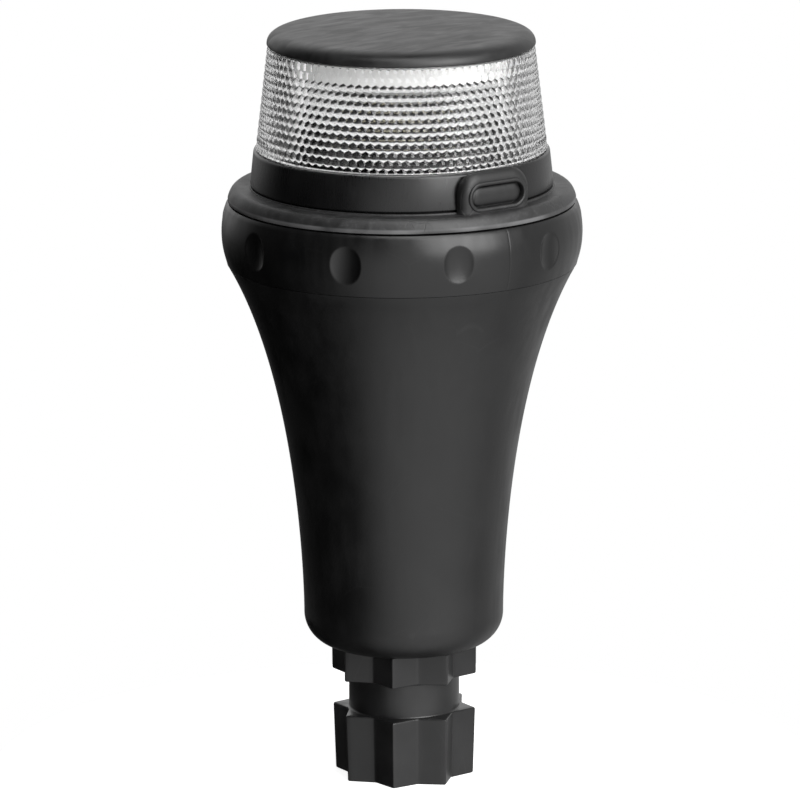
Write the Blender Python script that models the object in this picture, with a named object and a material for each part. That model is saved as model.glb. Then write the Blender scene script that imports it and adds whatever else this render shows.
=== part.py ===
"""A portable all-round marine lantern: a flared battery handle with a star-section mounting plug,
and a screw-on head with a grip collar, a rubber switch flange, a prismatic lens and a cap.

Sizes are in millimetres and become metres in the meshes. The origin is the centre of the plug's
foot, +Z runs up the lantern's axis, and -Y is the side that carries the switch.
"""

from math import atan2, cos, pi, radians, sin, sqrt

import bmesh
import bpy
from mathutils import Matrix, Vector

MM = 0.001
GAP = 0.3
ROUND = 32
INNER_ROUND = 24
SMALL_ROUND = 16
SCREW_ROUND = 8

# Star-section plug
PLUG_TOP = 27.3
LOWER_STAR_TOP = 13.95
UPPER_STAR_FOOT = 21.15
STAR_POINTS = 8
STAR_VALLEY = 0.785
LOWER_STAR_R = (14.06, 14.45)
UPPER_STAR_R = (14.75, 14.85)
STAR_CHAMFER = 0.45
LATCH_NECK_R = 11.3
PLUG_POCKET_R = (3.5, 8.7)
PLUG_POCKET_DEPTH = 10.0
PLUG_WEB = 2.0
PLUG_SCREW_CIRCLE = 6.2
PLUG_SCREW_TIP = 17.0
PLUG_PILOT_R = 1.35
FLOOR_HOLE_R = 1.6
SEAL_GROOVE_R = (8.0, 10.2)
SEAL_GROOVE_DEPTH = 1.3

# Handle
HANDLE_FOOT = PLUG_TOP + GAP
FOOT_CORNER_R = 6.5
GRIP_R = 20.35
GRIP_FOOT = HANDLE_FOOT + FOOT_CORNER_R
RIM_R = 35.35
RIM_TOP = 107.0
FLARE_PULL = 80.3
WALL = 2.2
FLOOR_TOP = 30.0
BORE_R = 18.4
BORE_CORNER_R = 4.5
BORE_TOP = 44.0
NECK_BORE_R = 27.4
NECK_R = 29.6
NECK_TOP = 117.5
LAND_R = 30.8
LAND_TOP = 111.0
RING_GROOVE = (108.1, 110.1)
RING_GROOVE_R = 29.0
RING_R = 30.1
RING_CORD_R = 0.8
GUIDE_R = 18.2
KEY_R = 16.9
GUIDE_THICK = 2.0
GUIDE_TOP = 90.0
KEY_THICK = 2.4

# Screw thread between handle and head
PITCH = 3.0
THREAD_TURNS = 1.4
THREAD_FOOT = 112.2
THREAD_HEIGHT = 1.0
THREAD_ROOT_HALF = 0.85
THREAD_CREST_HALF = 0.35
THREAD_STEPS = ROUND
THREAD_BITE = 0.5

# Battery carrier: four AA cells, 14.5 mm across and 50.5 mm long
CELL_R = 7.25
CELL_BODY = 49.2
CELL_NUB = 1.3
CELL_NUB_R = 2.6
CELL_OFFSET = 7.4
CARRIER_FOOT = 37.0
PLATE_R = 17.8
PLATE_THICK = 2.5
LINK_THICK = 0.4
SPINE_R = 2.7
SPRING_HEIGHT = 2.2
CELL_WIRE_R = 0.35
EJECTOR_R = 12.4
EJECTOR_WIRE_R = 0.6
EJECTOR_TURNS = 2.25
TERMINAL_THICK = 0.6

# Grip collar
COLLAR_FOOT = RIM_TOP + GAP
COLLAR_TOP = 119.6
COLLAR_R = 36.6
COLLAR_WIDEST = 114.0
BULGE_LOW = 0.0256
BULGE_HIGH = 0.039
COLLAR_BORE_R = 31.15
DECK_FOOT = 117.9
DECK_BORE_R = 17.5
DIMPLES = 10
DIMPLE_MIDDLE = 113.3
DIMPLE_HALF_WIDTH = 3.15
DIMPLE_HALF_HEIGHT = 5.1
DIMPLE_DEPTH = 1.2

# Rubber flange with the switch boot
FLANGE_FOOT = COLLAR_TOP + GAP
FLANGE_BED = 121.9
FLANGE_SHOULDER_R = 33.2
FLANGE_TOP = 122.7
FLANGE_LIP_TOP = 123.0
FLANGE_BORE_R = 21.0
FLANGE_RIM_R = 35.2
FLANGE_RIM_TOP = 120.5
LIP_THICK = 0.95
BOOT_FRONT = 32.4
BOOT_BACK = 30.0
BOOT_HALF_WIDTH = 8.35
BOOT_TOP = 131.0
BOOT_CORNER_R = 4.5
BOOT_FOOT = 121.6
BUTTON_HEIGHT = 125.95
RECESS = (12.6, 4.4)
BEAD = (14.2, 6.0)
BEAD_RISE = 0.4
BUTTON = (12.0, 3.8)
BUTTON_FRONT = 32.2
BUTTON_THICK = 0.7
PLUNGER_R = 1.5
PLUNGER_TIP = 27.2
PLUNGER_HOLE_R = 2.0

# Bezel, lens and cap
BEZEL_FOOT = FLANGE_BED + GAP
BEZEL_FLOOR_TOP = 124.2
BEZEL_SHOULDER = FLANGE_LIP_TOP + GAP
BEZEL_R = (30.65, 29.9)
BEZEL_TOP = 130.4
BEZEL_BORE_R = 26.9
BEZEL_SEAT = 128.1
BEZEL_SEAT_R = 28.4
BOSS_R = 2.5
BOSS_TOP = 127.8
WIRE_HOLE_R = 2.0
WIRE_HOLE_BACK = 12.0
DECK_SCREW_CIRCLE = 23.0
DECK_SCREW_HEAD = 117.6
DECK_SCREW_TIP = 127.0
DECK_HOLE_R = 1.5
LENS_FOOT = 129.4
LENS_STEP = BEZEL_TOP + GAP
LENS_R = (29.45, 27.0)
LENS_SPIGOT_R = 28.1
LENS_BORE_R = (26.5, 24.5)
LENS_TOP = 151.4
CAP_FOOT = LENS_TOP + GAP
CAP_TOP = 154.95
CAP_R = 27.1
CAP_FLAT_R = 20.0
CAP_ROOF = 152.5
CAP_SPIGOT_R = (20.4, 22.5)
CAP_SPIGOT_FOOT = 148.8
CAP_GROOVE_R = (24.9, 26.2)
CAP_GROOVE_ROOF = 152.6
CAP_RIBS = 6
CAP_RIB_THICK = 1.6

# Light engine and driver
SPREADER_R = 7.6
SPREADER_FLANGE_R = 9.0
SPREADER_FOOT = BEZEL_FLOOR_TOP + GAP
SPREADER_TOP = 127.2
SPREADER_SCREW_HEAD = 121.9
SPREADER_SCREW_TIP = 127.0
SPREADER_HOLE_R = 1.5
LEDS = 6
LED_BOARD_R = 7.8
LED_BOARD_THICK = 1.2
LED_CIRCLE = 5.2
LED_SIZE = (3.0, 3.0, 0.8)
BAFFLE_R = (8.2, 26.2)
BAFFLE_THICK = 0.9
BAFFLE_LIP_R = 9.2
BAFFLE_HEIGHT = 3.1
REFLECTOR_R = 24.1
REFLECTOR_SKIRT_R = 22.8
REFLECTOR_EDGE = 0.9
REFLECTOR_DROP = 4.2
HOUSING_R = 17.0
HOUSING_RIM_R = 19.8
HOUSING_HOLE_R = 1.6
HOUSING_FLOOR_TOP = 101.8
HOUSING_FOOT = 100.0
HOUSING_BORE_R = 15.4
HOUSING_LEDGE_R = 13.6
HOUSING_LEDGE = 108.6
DRIVER_BOARD_R = 15.0
BOARD_THICK = 1.5
CONTACT_FOOT = 98.2
CONTACT_THICK = 1.5
RING_CONTACT_R = (8.5, 11.5)
TACT_BODY = ((-2.25, -25.2, 124.5), (2.25, -22.2, 127.8))
TACT_NUB_R = 0.9
TACT_NUB_TIP = 25.9
SWITCH_BOARD = ((-7.0, -21.9, 124.5), (7.0, -20.9, 127.8))

BLACK_PLASTIC = ((0.022, 0.022, 0.023), 0.42, 0.0)
COLLAR_PLASTIC = ((0.018, 0.018, 0.019), 0.36, 0.0)
BLACK_RUBBER = ((0.030, 0.030, 0.031), 0.68, 0.0)
CLEAR_PLASTIC = ((0.90, 0.91, 0.92), 0.08, 0.0)
WHITE_PLASTIC = ((0.84, 0.84, 0.82), 0.45, 0.0)
STEEL = ((0.60, 0.60, 0.60), 0.30, 1.0)
BRASS = ((0.72, 0.52, 0.22), 0.32, 1.0)
ALUMINIUM = ((0.74, 0.75, 0.76), 0.34, 1.0)
CELL_WRAP = ((0.10, 0.12, 0.14), 0.35, 0.0)
BOARD_GREEN = ((0.04, 0.16, 0.09), 0.45, 0.0)
LED_YELLOW = ((0.86, 0.78, 0.42), 0.40, 0.0)
DARK_CASE = ((0.05, 0.05, 0.055), 0.50, 0.0)

# Turns a shape's own +Z to the front of the lantern
FACING_FRONT = (pi / 2, 0, 0)


def clear_scene():
    for obj in list(bpy.data.objects):
        bpy.data.objects.remove(obj)


def add_empty(name, parent=None, location=(0, 0, 0)):
    empty = bpy.data.objects.new(name, None)
    empty.empty_display_size = 0.02
    empty.location = Vector(location) * MM
    empty.parent = parent
    bpy.context.scene.collection.objects.link(empty)
    return empty


def add_material(name, look):
    colour, roughness, metallic = look
    material = bpy.data.materials.new(name)
    material.use_nodes = True
    shader = material.node_tree.nodes["Principled BSDF"]
    shader.inputs["Base Color"].default_value = (*colour, 1.0)
    shader.inputs["Roughness"].default_value = roughness
    shader.inputs["Metallic"].default_value = metallic
    if look is CLEAR_PLASTIC:
        shader.inputs["Transmission Weight"].default_value = 0.9
    return material


def add_object(name, data, parent, look, location=(0, 0, 0), turn=(0, 0, 0)):
    """A visible piece. Its data is in metres, its location in millimetres in its parent's frame."""
    obj = bpy.data.objects.new(name, data)
    bpy.context.scene.collection.objects.link(obj)
    obj.location = Vector(location) * MM
    obj.rotation_euler = turn
    obj.parent = parent
    if look:
        data.materials.append(add_material(name, look))
    return obj


def add_helper(name, data, owner, location=(0, 0, 0), turn=(0, 0, 0)):
    """A cutter, or a shape that is joined to another piece. It isn't a piece of its own."""
    helper = add_object(name, data, owner, None, location, turn)
    helper.hide_render = True
    helper.display_type = "WIRE"
    return helper


def combine(obj, helper, operation):
    modifier = obj.modifiers.new(helper.name, "BOOLEAN")
    modifier.operation = operation
    modifier.solver = "EXACT"
    modifier.object = helper


def cut(obj, name, data, location=(0, 0, 0), turn=(0, 0, 0)):
    combine(obj, add_helper(name, data, obj, location, turn), "DIFFERENCE")


def add_on(obj, name, data, location=(0, 0, 0), turn=(0, 0, 0)):
    combine(obj, add_helper(name, data, obj, location, turn), "UNION")


def mesh_from(bm, name, sharp=35.0):
    bmesh.ops.remove_doubles(bm, verts=bm.verts, dist=1e-7)
    bmesh.ops.recalc_face_normals(bm, faces=bm.faces)
    mesh = bpy.data.meshes.new(name)
    bm.to_mesh(mesh)
    bm.free()
    mesh.shade_smooth()
    mesh.set_sharp_from_angle(angle=radians(sharp))
    return mesh


def spread(start, end, steps):
    return [start + (end - start) * i / steps for i in range(steps + 1)]


def arc(centre, radius, start, end, steps):
    """Points on an arc in an outline's plane, from one angle to another in degrees."""
    angles = [radians(degrees) for degrees in spread(start, end, steps)]
    return [(centre[0] + radius * cos(a), centre[1] + radius * sin(a)) for a in angles]


def bezier(points, steps):
    """Points on a quadratic or cubic Bezier curve, by repeated halving between its control points."""
    curve = []
    for i in range(steps + 1):
        t = i / steps
        level = points
        while len(level) > 1:
            level = [
                (a[0] + (b[0] - a[0]) * t, a[1] + (b[1] - a[1]) * t)
                for a, b in zip(level, level[1:])
            ]
        curve.append(level[0])
    return curve


def turned(name, outline, segments=ROUND):
    """A solid of revolution. The outline is (radius, height) points: open where its ends lie on the
    axis, and closed otherwise."""
    bm = bmesh.new()
    verts = [bm.verts.new((r * MM, 0, z * MM)) for r, z in outline]
    on_axis = outline[0][0] == 0 and outline[-1][0] == 0
    loop = zip(verts, verts[1:] if on_axis else verts[1:] + verts[:1])
    edges = [bm.edges.new(pair) for pair in loop]
    bmesh.ops.spin(
        bm,
        geom=verts + edges,
        cent=(0, 0, 0),
        axis=(0, 0, 1),
        angle=2 * pi,
        steps=segments,
        use_merge=True,
    )
    return mesh_from(bm, name)


def ring(name, radii, heights, segments=ROUND):
    inner, outer = radii
    low, high = heights
    return turned(name, [(inner, low), (outer, low), (outer, high), (inner, high)], segments)


def rod(name, radius, low, high, segments=SMALL_ROUND):
    return turned(name, [(0, low), (radius, low), (radius, high), (0, high)], segments)


def prism(name, outline, low, high):
    """A flat outline of (x, y) points, extruded from one height to another."""
    bm = bmesh.new()
    face = bm.faces.new([bm.verts.new((x * MM, y * MM, low * MM)) for x, y in outline])
    grown = bmesh.ops.extrude_face_region(bm, geom=[face])["geom"]
    top = [v for v in grown if isinstance(v, bmesh.types.BMVert)]
    bmesh.ops.translate(bm, verts=top, vec=(0, 0, (high - low) * MM))
    return mesh_from(bm, name)


def block(name, low, high):
    outline = [(low[0], low[1]), (high[0], low[1]), (high[0], high[1]), (low[0], high[1])]
    return prism(name, outline, low[2], high[2])


def stadium(length, height, steps=6):
    """A slot's outline: a straight middle and two half-round ends."""
    reach = (length - height) / 2
    right = arc((reach, 0), height / 2, -90, 90, steps)
    return right + arc((-reach, 0), height / 2, 90, 270, steps)


def lofted(name, levels):
    """A solid with the same number of points at every level. Each level is a height and its points."""
    bm = bmesh.new()
    rings = [[bm.verts.new((x * MM, y * MM, z * MM)) for x, y in points] for z, points in levels]
    for low, high in zip(rings, rings[1:]):
        for i in range(len(low)):
            j = (i + 1) % len(low)
            bm.faces.new((low[i], low[j], high[j], high[i]))
    bm.faces.new(rings[0])
    bm.faces.new(rings[-1])
    return mesh_from(bm, name)


def helix_curve(name, radii, heights, turns, wire_r, steps_per_turn, sides):
    """A coil of round wire, as a curve with a bevel and filled caps."""
    curve = bpy.data.curves.new(name, "CURVE")
    curve.dimensions = "3D"
    curve.bevel_depth = wire_r * MM
    curve.bevel_resolution = sides
    curve.use_fill_caps = True
    count = round(turns * steps_per_turn) + 1
    spline = curve.splines.new("POLY")
    spline.points.add(count - 1)
    for i, point in enumerate(spline.points):
        share = i / (count - 1)
        angle = 2 * pi * turns * share
        radius = (radii[0] + (radii[1] - radii[0]) * share) * MM
        height = (heights[0] + (heights[1] - heights[0]) * share) * MM
        point.co = (radius * cos(angle), radius * sin(angle), height, 1)
    return curve


def flank(steps=10):
    """The handle's outer curve from the straight grip to the flared rim, as (radius, height)."""
    start = (GRIP_R, GRIP_FOOT + GAP)
    return bezier([start, start, (GRIP_R, FLARE_PULL), (RIM_R, RIM_TOP - GAP)], steps)


def handle_radius(height):
    """The handle's outside radius at a height."""
    points = flank(48)
    for (r0, z0), (r1, z1) in zip(points, points[1:]):
        if z0 <= height <= z1:
            return r0 + (r1 - r0) * (height - z0) / (z1 - z0)
    return GRIP_R if height < points[0][1] else RIM_R


def collar_radius(height):
    rise = BULGE_HIGH if height > COLLAR_WIDEST else BULGE_LOW
    return COLLAR_R - rise * (height - COLLAR_WIDEST) ** 2


def thread_ridge(name, root_r, crest_r, foot):
    """A helical ridge of trapezium section that fades into its wall at both ends."""
    inward = crest_r < root_r
    buried = root_r + THREAD_BITE * (1 if inward else -1)
    bm = bmesh.new()
    sections = []
    count = round(THREAD_TURNS * THREAD_STEPS)
    for i in range(count + 1):
        angle = 2 * pi * (i + 0.5) / THREAD_STEPS
        fade = min(1.0, i / 4, (count - i) / 4)
        crest = buried + (crest_r - buried) * max(fade, 0.02)
        middle = foot + PITCH * i / THREAD_STEPS
        corners = (
            (buried, middle - THREAD_ROOT_HALF),
            (crest, middle - THREAD_CREST_HALF),
            (crest, middle + THREAD_CREST_HALF),
            (buried, middle + THREAD_ROOT_HALF),
        )
        sections.append(
            [bm.verts.new((r * cos(angle) * MM, r * sin(angle) * MM, z * MM)) for r, z in corners]
        )
    for a, b in zip(sections, sections[1:]):
        for i in range(4):
            j = (i + 1) % 4
            bm.faces.new((a[i], a[j], b[j], b[i]))
    bm.faces.new(sections[0])
    bm.faces.new(sections[-1])
    return mesh_from(bm, name)


def star_level(height, point_r, valley_r):
    """A star outline with points on the axes, and one more point halfway along each side."""
    points = []
    step = pi / STAR_POINTS
    for i in range(STAR_POINTS):
        tip = Vector((cos(2 * i * step), sin(2 * i * step))) * point_r
        valley = Vector((cos((2 * i + 1) * step), sin((2 * i + 1) * step))) * valley_r
        after = Vector((cos((2 * i + 2) * step), sin((2 * i + 2) * step))) * point_r
        points += [tip, (tip + valley) / 2, valley, (valley + after) / 2]
    return height, points


def round_level(height, radius):
    count = 4 * STAR_POINTS
    return height, [
        (radius * cos(2 * pi * i / count), radius * sin(2 * pi * i / count)) for i in range(count)
    ]


def star_levels(foot, top, radii):
    """One star section with draft and chamfered ends."""
    low, high = radii
    levels = []
    for height, radius, inset in (
        (foot, low, STAR_CHAMFER),
        (foot + STAR_CHAMFER, low, 0.0),
        (top - STAR_CHAMFER, high, 0.0),
        (top, high, STAR_CHAMFER),
    ):
        valley = radius * STAR_VALLEY
        levels.append(star_level(height, radius - inset, valley - inset / 3))
    return levels


def around(count, radius, first=0.0):
    """Places on a circle: (index from 1, angle in radians, x, y)."""
    for i in range(count):
        angle = radians(first) + 2 * pi * i / count
        yield i + 1, angle, radius * cos(angle), radius * sin(angle)


def screw_mesh(name, shank_r, head_r, head_height, length):
    """A pan-head screw standing on its tip, with the underside of its head at the given length."""
    outline = [
        (0, 0),
        (shank_r, shank_r),
        (shank_r, length),
        (head_r, length),
        (head_r, length + head_height * 0.55),
        (head_r * 0.75, length + head_height),
        (0, length + head_height),
    ]
    return turned(name, outline, SCREW_ROUND)


def make_plug(parent):
    levels = star_levels(0.0, LOWER_STAR_TOP, LOWER_STAR_R)
    levels += [round_level(LOWER_STAR_TOP, LATCH_NECK_R), round_level(UPPER_STAR_FOOT, LATCH_NECK_R)]
    levels += star_levels(UPPER_STAR_FOOT, PLUG_TOP, UPPER_STAR_R)
    plug = add_object("mount_plug", lofted("mount_plug", levels), parent, BLACK_PLASTIC)
    inner, outer = PLUG_POCKET_R
    half_web = PLUG_WEB / 2
    for i in range(4):
        swing = [atan2(half_web, r) for r in (inner, outer)]
        far = [(outer * cos(a), outer * sin(a)) for a in spread(swing[1], pi / 2 - swing[1], 6)]
        near = [(inner * cos(a), inner * sin(a)) for a in spread(pi / 2 - swing[0], swing[0], 3)]
        pocket = prism("plug_pocket_cutter", far + near, -1.0, PLUG_POCKET_DEPTH)
        cut(plug, f"plug_pocket_cutter_{i + 1}", pocket, turn=(0, 0, i * pi / 2))
    groove = ring("seal_groove", SEAL_GROOVE_R, (PLUG_TOP - SEAL_GROOVE_DEPTH, PLUG_TOP + 1), 32)
    cut(plug, "seal_groove_cutter", groove)
    for i, _, x, y in around(4, PLUG_SCREW_CIRCLE, 45):
        pilot = rod("plug_pilot", PLUG_PILOT_R, PLUG_SCREW_TIP - 1, PLUG_TOP + 1, SCREW_ROUND)
        cut(plug, f"plug_pilot_cutter_{i}", pilot, (x, y, 0))
    seal_r = (SEAL_GROOVE_R[0] + GAP, SEAL_GROOVE_R[1] - GAP)
    seal = ring("plug_seal", seal_r, (0, SEAL_GROOVE_DEPTH - GAP), 32)
    seal_foot = PLUG_TOP - SEAL_GROOVE_DEPTH + GAP
    add_object("plug_seal", seal, parent, BLACK_RUBBER, (0, 0, seal_foot))
    length = FLOOR_TOP + GAP - PLUG_SCREW_TIP
    for i, _, x, y in around(4, PLUG_SCREW_CIRCLE, 45):
        screw = screw_mesh(f"plug_screw_{i}", 1.05, 2.5, 1.7, length)
        add_object(f"plug_screw_{i}", screw, parent, STEEL, (x, y, PLUG_SCREW_TIP))


def handle_outline():
    inside = [(r - WALL, z) for r, z in flank() if r - WALL > BORE_R + 0.2 and r - WALL < NECK_BORE_R]
    outline = [(0, FLOOR_TOP)]
    corner = (BORE_R - BORE_CORNER_R, FLOOR_TOP + BORE_CORNER_R)
    outline += arc(corner, BORE_CORNER_R, -90, 0, 3)
    outline += [(BORE_R, BORE_TOP)] + inside
    outline += [(NECK_BORE_R, inside[-1][1] + 3), (NECK_BORE_R, NECK_TOP)]
    outline += [(NECK_R - 0.5, NECK_TOP), (NECK_R, NECK_TOP - 0.5), (NECK_R, LAND_TOP)]
    outline += [(LAND_R, LAND_TOP), (LAND_R, RING_GROOVE[1]), (RING_GROOVE_R, RING_GROOVE[1])]
    outline += [(RING_GROOVE_R, RING_GROOVE[0]), (LAND_R, RING_GROOVE[0]), (LAND_R, RIM_TOP)]
    outline += [(RIM_R - GAP, RIM_TOP)] + list(reversed(flank()))
    foot = (GRIP_R - FOOT_CORNER_R, GRIP_FOOT)
    outline += arc(foot, FOOT_CORNER_R, 0, -90, 5)
    return outline + [(0, HANDLE_FOOT)]


def guide_mesh(inner_r, low, high, thickness):
    """A plate that stands on the inside of the handle's wall, in the XZ plane, facing the axis."""
    heights = spread(low, high, 4)
    outline = [(inner_r, low)]
    outline += [(max(handle_radius(z), GRIP_R) - WALL / 2, z) for z in heights]
    outline += [(inner_r, high)]
    mesh = prism("guide", outline, -thickness / 2, thickness / 2)
    mesh.transform(Matrix.Rotation(pi / 2, 4, "X"))
    return mesh


def make_handle(parent):
    handle = add_object("handle_body", turned("handle_body", handle_outline()), parent, BLACK_PLASTIC)
    for i, angle, _, _ in around(4, 1, 45):
        guide = guide_mesh(GUIDE_R, BORE_TOP + 4, GUIDE_TOP, GUIDE_THICK)
        add_on(handle, f"guide_rib_{i}", guide, turn=(0, 0, angle))
    key = guide_mesh(KEY_R, CARRIER_FOOT - 2, GUIDE_TOP, KEY_THICK)
    add_on(handle, "key_rib", key, turn=(0, 0, pi / 2))
    thread = thread_ridge("neck_thread", NECK_R, NECK_R + THREAD_HEIGHT, THREAD_FOOT)
    add_on(handle, "neck_thread", thread)
    for i, _, x, y in around(4, PLUG_SCREW_CIRCLE, 45):
        hole = rod("floor_hole", FLOOR_HOLE_R, HANDLE_FOOT - 1, FLOOR_TOP + 1, SCREW_ROUND)
        cut(handle, f"floor_hole_cutter_{i}", hole, (x, y, 0))
    section = arc((RING_R, 0), RING_CORD_R, 0, 300, 5)
    middle = sum(RING_GROOVE) / 2
    add_object("neck_o_ring", turned("neck_o_ring", section), parent, BLACK_RUBBER, (0, 0, middle))
    low = FLOOR_TOP + GAP + EJECTOR_WIRE_R
    high = CARRIER_FOOT - GAP - EJECTOR_WIRE_R
    radii = (EJECTOR_R, EJECTOR_R)
    rise = (0, high - low)
    spring = helix_curve("ejector_spring", radii, rise, EJECTOR_TURNS, EJECTOR_WIRE_R, 14, 1)
    add_object("ejector_spring", spring, parent, STEEL, (0, 0, low))


def plate_mesh(name):
    """A round carrier plate with a notch at the back that straddles the handle's key rib."""
    half = KEY_THICK / 2 + 0.5
    edge = atan2(sqrt(PLATE_R**2 - half**2), half)
    outline = [(PLATE_R * cos(a), PLATE_R * sin(a)) for a in spread(pi - edge, 2 * pi + edge, 36)]
    outline += [(half, KEY_R - 0.5), (-half, KEY_R - 0.5)]
    return prism(name, outline, 0, PLATE_THICK)


def cell_mesh(name):
    outline = [(0, 0), (CELL_R - 0.4, 0), (CELL_R, 0.4), (CELL_R, CELL_BODY - 0.4)]
    outline += [(CELL_R - 0.4, CELL_BODY), (CELL_NUB_R, CELL_BODY)]
    outline += [(CELL_NUB_R, CELL_BODY + CELL_NUB), (0, CELL_BODY + CELL_NUB)]
    return turned(name, outline, SMALL_ROUND)


def make_carrier(parent):
    """Local heights start at the carrier's foot."""
    plate_top = PLATE_THICK
    link_low = plate_top + GAP
    stack_low = link_low + LINK_THICK + GAP
    cell_low = stack_low + SPRING_HEIGHT + GAP
    nub_top = cell_low + CELL_BODY + CELL_NUB
    link_high = nub_top + GAP
    plate_high = link_high + LINK_THICK + GAP
    add_object("carrier_base", plate_mesh("carrier_base"), parent, BLACK_PLASTIC)
    top = plate_mesh("carrier_top")
    add_object("carrier_top", top, parent, BLACK_PLASTIC, (0, 0, plate_high))
    spine = rod("carrier_spine", SPINE_R, 0, plate_high - link_low - GAP, 12)
    add_object("carrier_spine", spine, parent, BLACK_PLASTIC, (0, 0, link_low))

    corners = [(-1, -1), (-1, 1), (1, 1), (1, -1)]
    for i, (side_x, side_y) in enumerate(corners):
        place = (side_x * CELL_OFFSET, side_y * CELL_OFFSET)
        flipped = i % 2 == 1
        height = stack_low + CELL_NUB + CELL_BODY if flipped else cell_low
        turn = (pi, 0, 0) if flipped else (0, 0, 0)
        cell = cell_mesh(f"aa_cell_{i + 1}")
        add_object(f"aa_cell_{i + 1}", cell, parent, CELL_WRAP, (*place, height), turn)
        spring_height = link_high - GAP if flipped else stack_low
        rise = (CELL_WIRE_R, SPRING_HEIGHT - CELL_WIRE_R)
        spring = helix_curve(f"cell_spring_{i + 1}", (4.2, 2.4), rise, 2.0, CELL_WIRE_R, 10, 0)
        add_object(
            f"cell_spring_{i + 1}", spring, parent, STEEL, (*place, spring_height), turn
        )

    reach = CELL_OFFSET + 3.2
    strap = ((-3.0, -reach, 0), (3.0, reach, LINK_THICK))
    for i, side in enumerate((-1, 1)):
        link = block(f"base_link_{i + 1}", *strap)
        place = (side * CELL_OFFSET, 0, link_low)
        add_object(f"base_link_{i + 1}", link, parent, BRASS, place)
        feed = block(f"terminal_feed_{i + 1}", (-3.2, -3.2, 0), (3.2, 3.2, LINK_THICK))
        place = (side * CELL_OFFSET, -CELL_OFFSET, link_high)
        add_object(f"terminal_feed_{i + 1}", feed, parent, BRASS, place)
    link = block("top_link", *strap)
    add_object("top_link", link, parent, BRASS, (0, CELL_OFFSET, link_high), (0, 0, pi / 2))

    terminal = plate_high + PLATE_THICK + GAP
    centre = rod("centre_terminal", 3.0, 0, TERMINAL_THICK, 16)
    add_object("centre_terminal", centre, parent, BRASS, (0, 0, terminal))
    outer = ring("ring_terminal", RING_CONTACT_R, (0, TERMINAL_THICK), INNER_ROUND)
    add_object("ring_terminal", outer, parent, BRASS, (0, 0, terminal))


def collar_outline():
    outline = [(COLLAR_BORE_R + 0.4, COLLAR_FOOT), (collar_radius(COLLAR_FOOT) - 0.5, COLLAR_FOOT)]
    heights = spread(COLLAR_FOOT + 0.4, COLLAR_TOP - 0.5, 8)
    outline += [(collar_radius(z), z) for z in heights]
    outline += [(collar_radius(COLLAR_TOP) - 0.5, COLLAR_TOP), (DECK_BORE_R, COLLAR_TOP)]
    outline += [(DECK_BORE_R, DECK_FOOT), (COLLAR_BORE_R, DECK_FOOT)]
    return outline + [(COLLAR_BORE_R, COLLAR_FOOT + 0.4)]


def dimple_mesh():
    """An ellipsoid whose centre stands off the collar's surface by as much as it bites in."""
    bm = bmesh.new()
    bmesh.ops.create_uvsphere(bm, u_segments=12, v_segments=8, radius=1.0)
    widen = 1 / sqrt(0.75)
    size = (2 * DIMPLE_DEPTH, DIMPLE_HALF_WIDTH * widen, DIMPLE_HALF_HEIGHT * widen)
    bmesh.ops.scale(bm, vec=[s * MM for s in size], verts=bm.verts)
    return mesh_from(bm, "dimple")


def make_collar(parent):
    collar = add_object("grip_collar", turned("grip_collar", collar_outline()), parent, COLLAR_PLASTIC)
    crest = COLLAR_BORE_R - THREAD_HEIGHT - 0.2
    ridge = thread_ridge("collar_thread", COLLAR_BORE_R, crest, THREAD_FOOT + PITCH / 2)
    add_on(collar, "collar_thread", ridge)
    stand_off = collar_radius(DIMPLE_MIDDLE) + DIMPLE_DEPTH
    for i, angle, x, y in around(DIMPLES, stand_off, -90 + 180 / DIMPLES):
        place = (x, y, DIMPLE_MIDDLE)
        cut(collar, f"dimple_cutter_{i}", dimple_mesh(), place, (0, 0, angle))
    for i, _, x, y in around(4, DECK_SCREW_CIRCLE, 45):
        hole = rod("deck_hole", DECK_HOLE_R, DECK_FOOT - 1, COLLAR_TOP + 1, SCREW_ROUND)
        cut(collar, f"deck_hole_cutter_{i}", hole, (x, y, 0))


def flange_outline():
    lip_r = BEZEL_R[0] + 0.2
    bed_r = lip_r - LIP_THICK
    rim = (FLANGE_RIM_R, FLANGE_RIM_TOP)
    shoulder = (FLANGE_SHOULDER_R, FLANGE_TOP)
    outline = [(FLANGE_RIM_R, FLANGE_FOOT)]
    outline += bezier([rim, (FLANGE_RIM_R - 0.6, FLANGE_TOP), shoulder], 5)
    outline += [(lip_r, FLANGE_TOP), (lip_r, FLANGE_LIP_TOP), (bed_r, FLANGE_LIP_TOP), (bed_r, FLANGE_BED)]
    return outline + [(FLANGE_BORE_R, FLANGE_BED), (FLANGE_BORE_R, FLANGE_FOOT)]


def boot_outline():
    """The switch boot seen from the front: square at the foot, with round shoulders."""
    side = BOOT_HALF_WIDTH
    shoulder = BOOT_TOP - BOOT_CORNER_R
    inner = side - BOOT_CORNER_R
    outline = [(-side, BOOT_FOOT), (side, BOOT_FOOT)]
    outline += arc((inner, shoulder), BOOT_CORNER_R, 0, 90, 5)
    return outline + arc((-inner, shoulder), BOOT_CORNER_R, 90, 180, 5)


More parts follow.
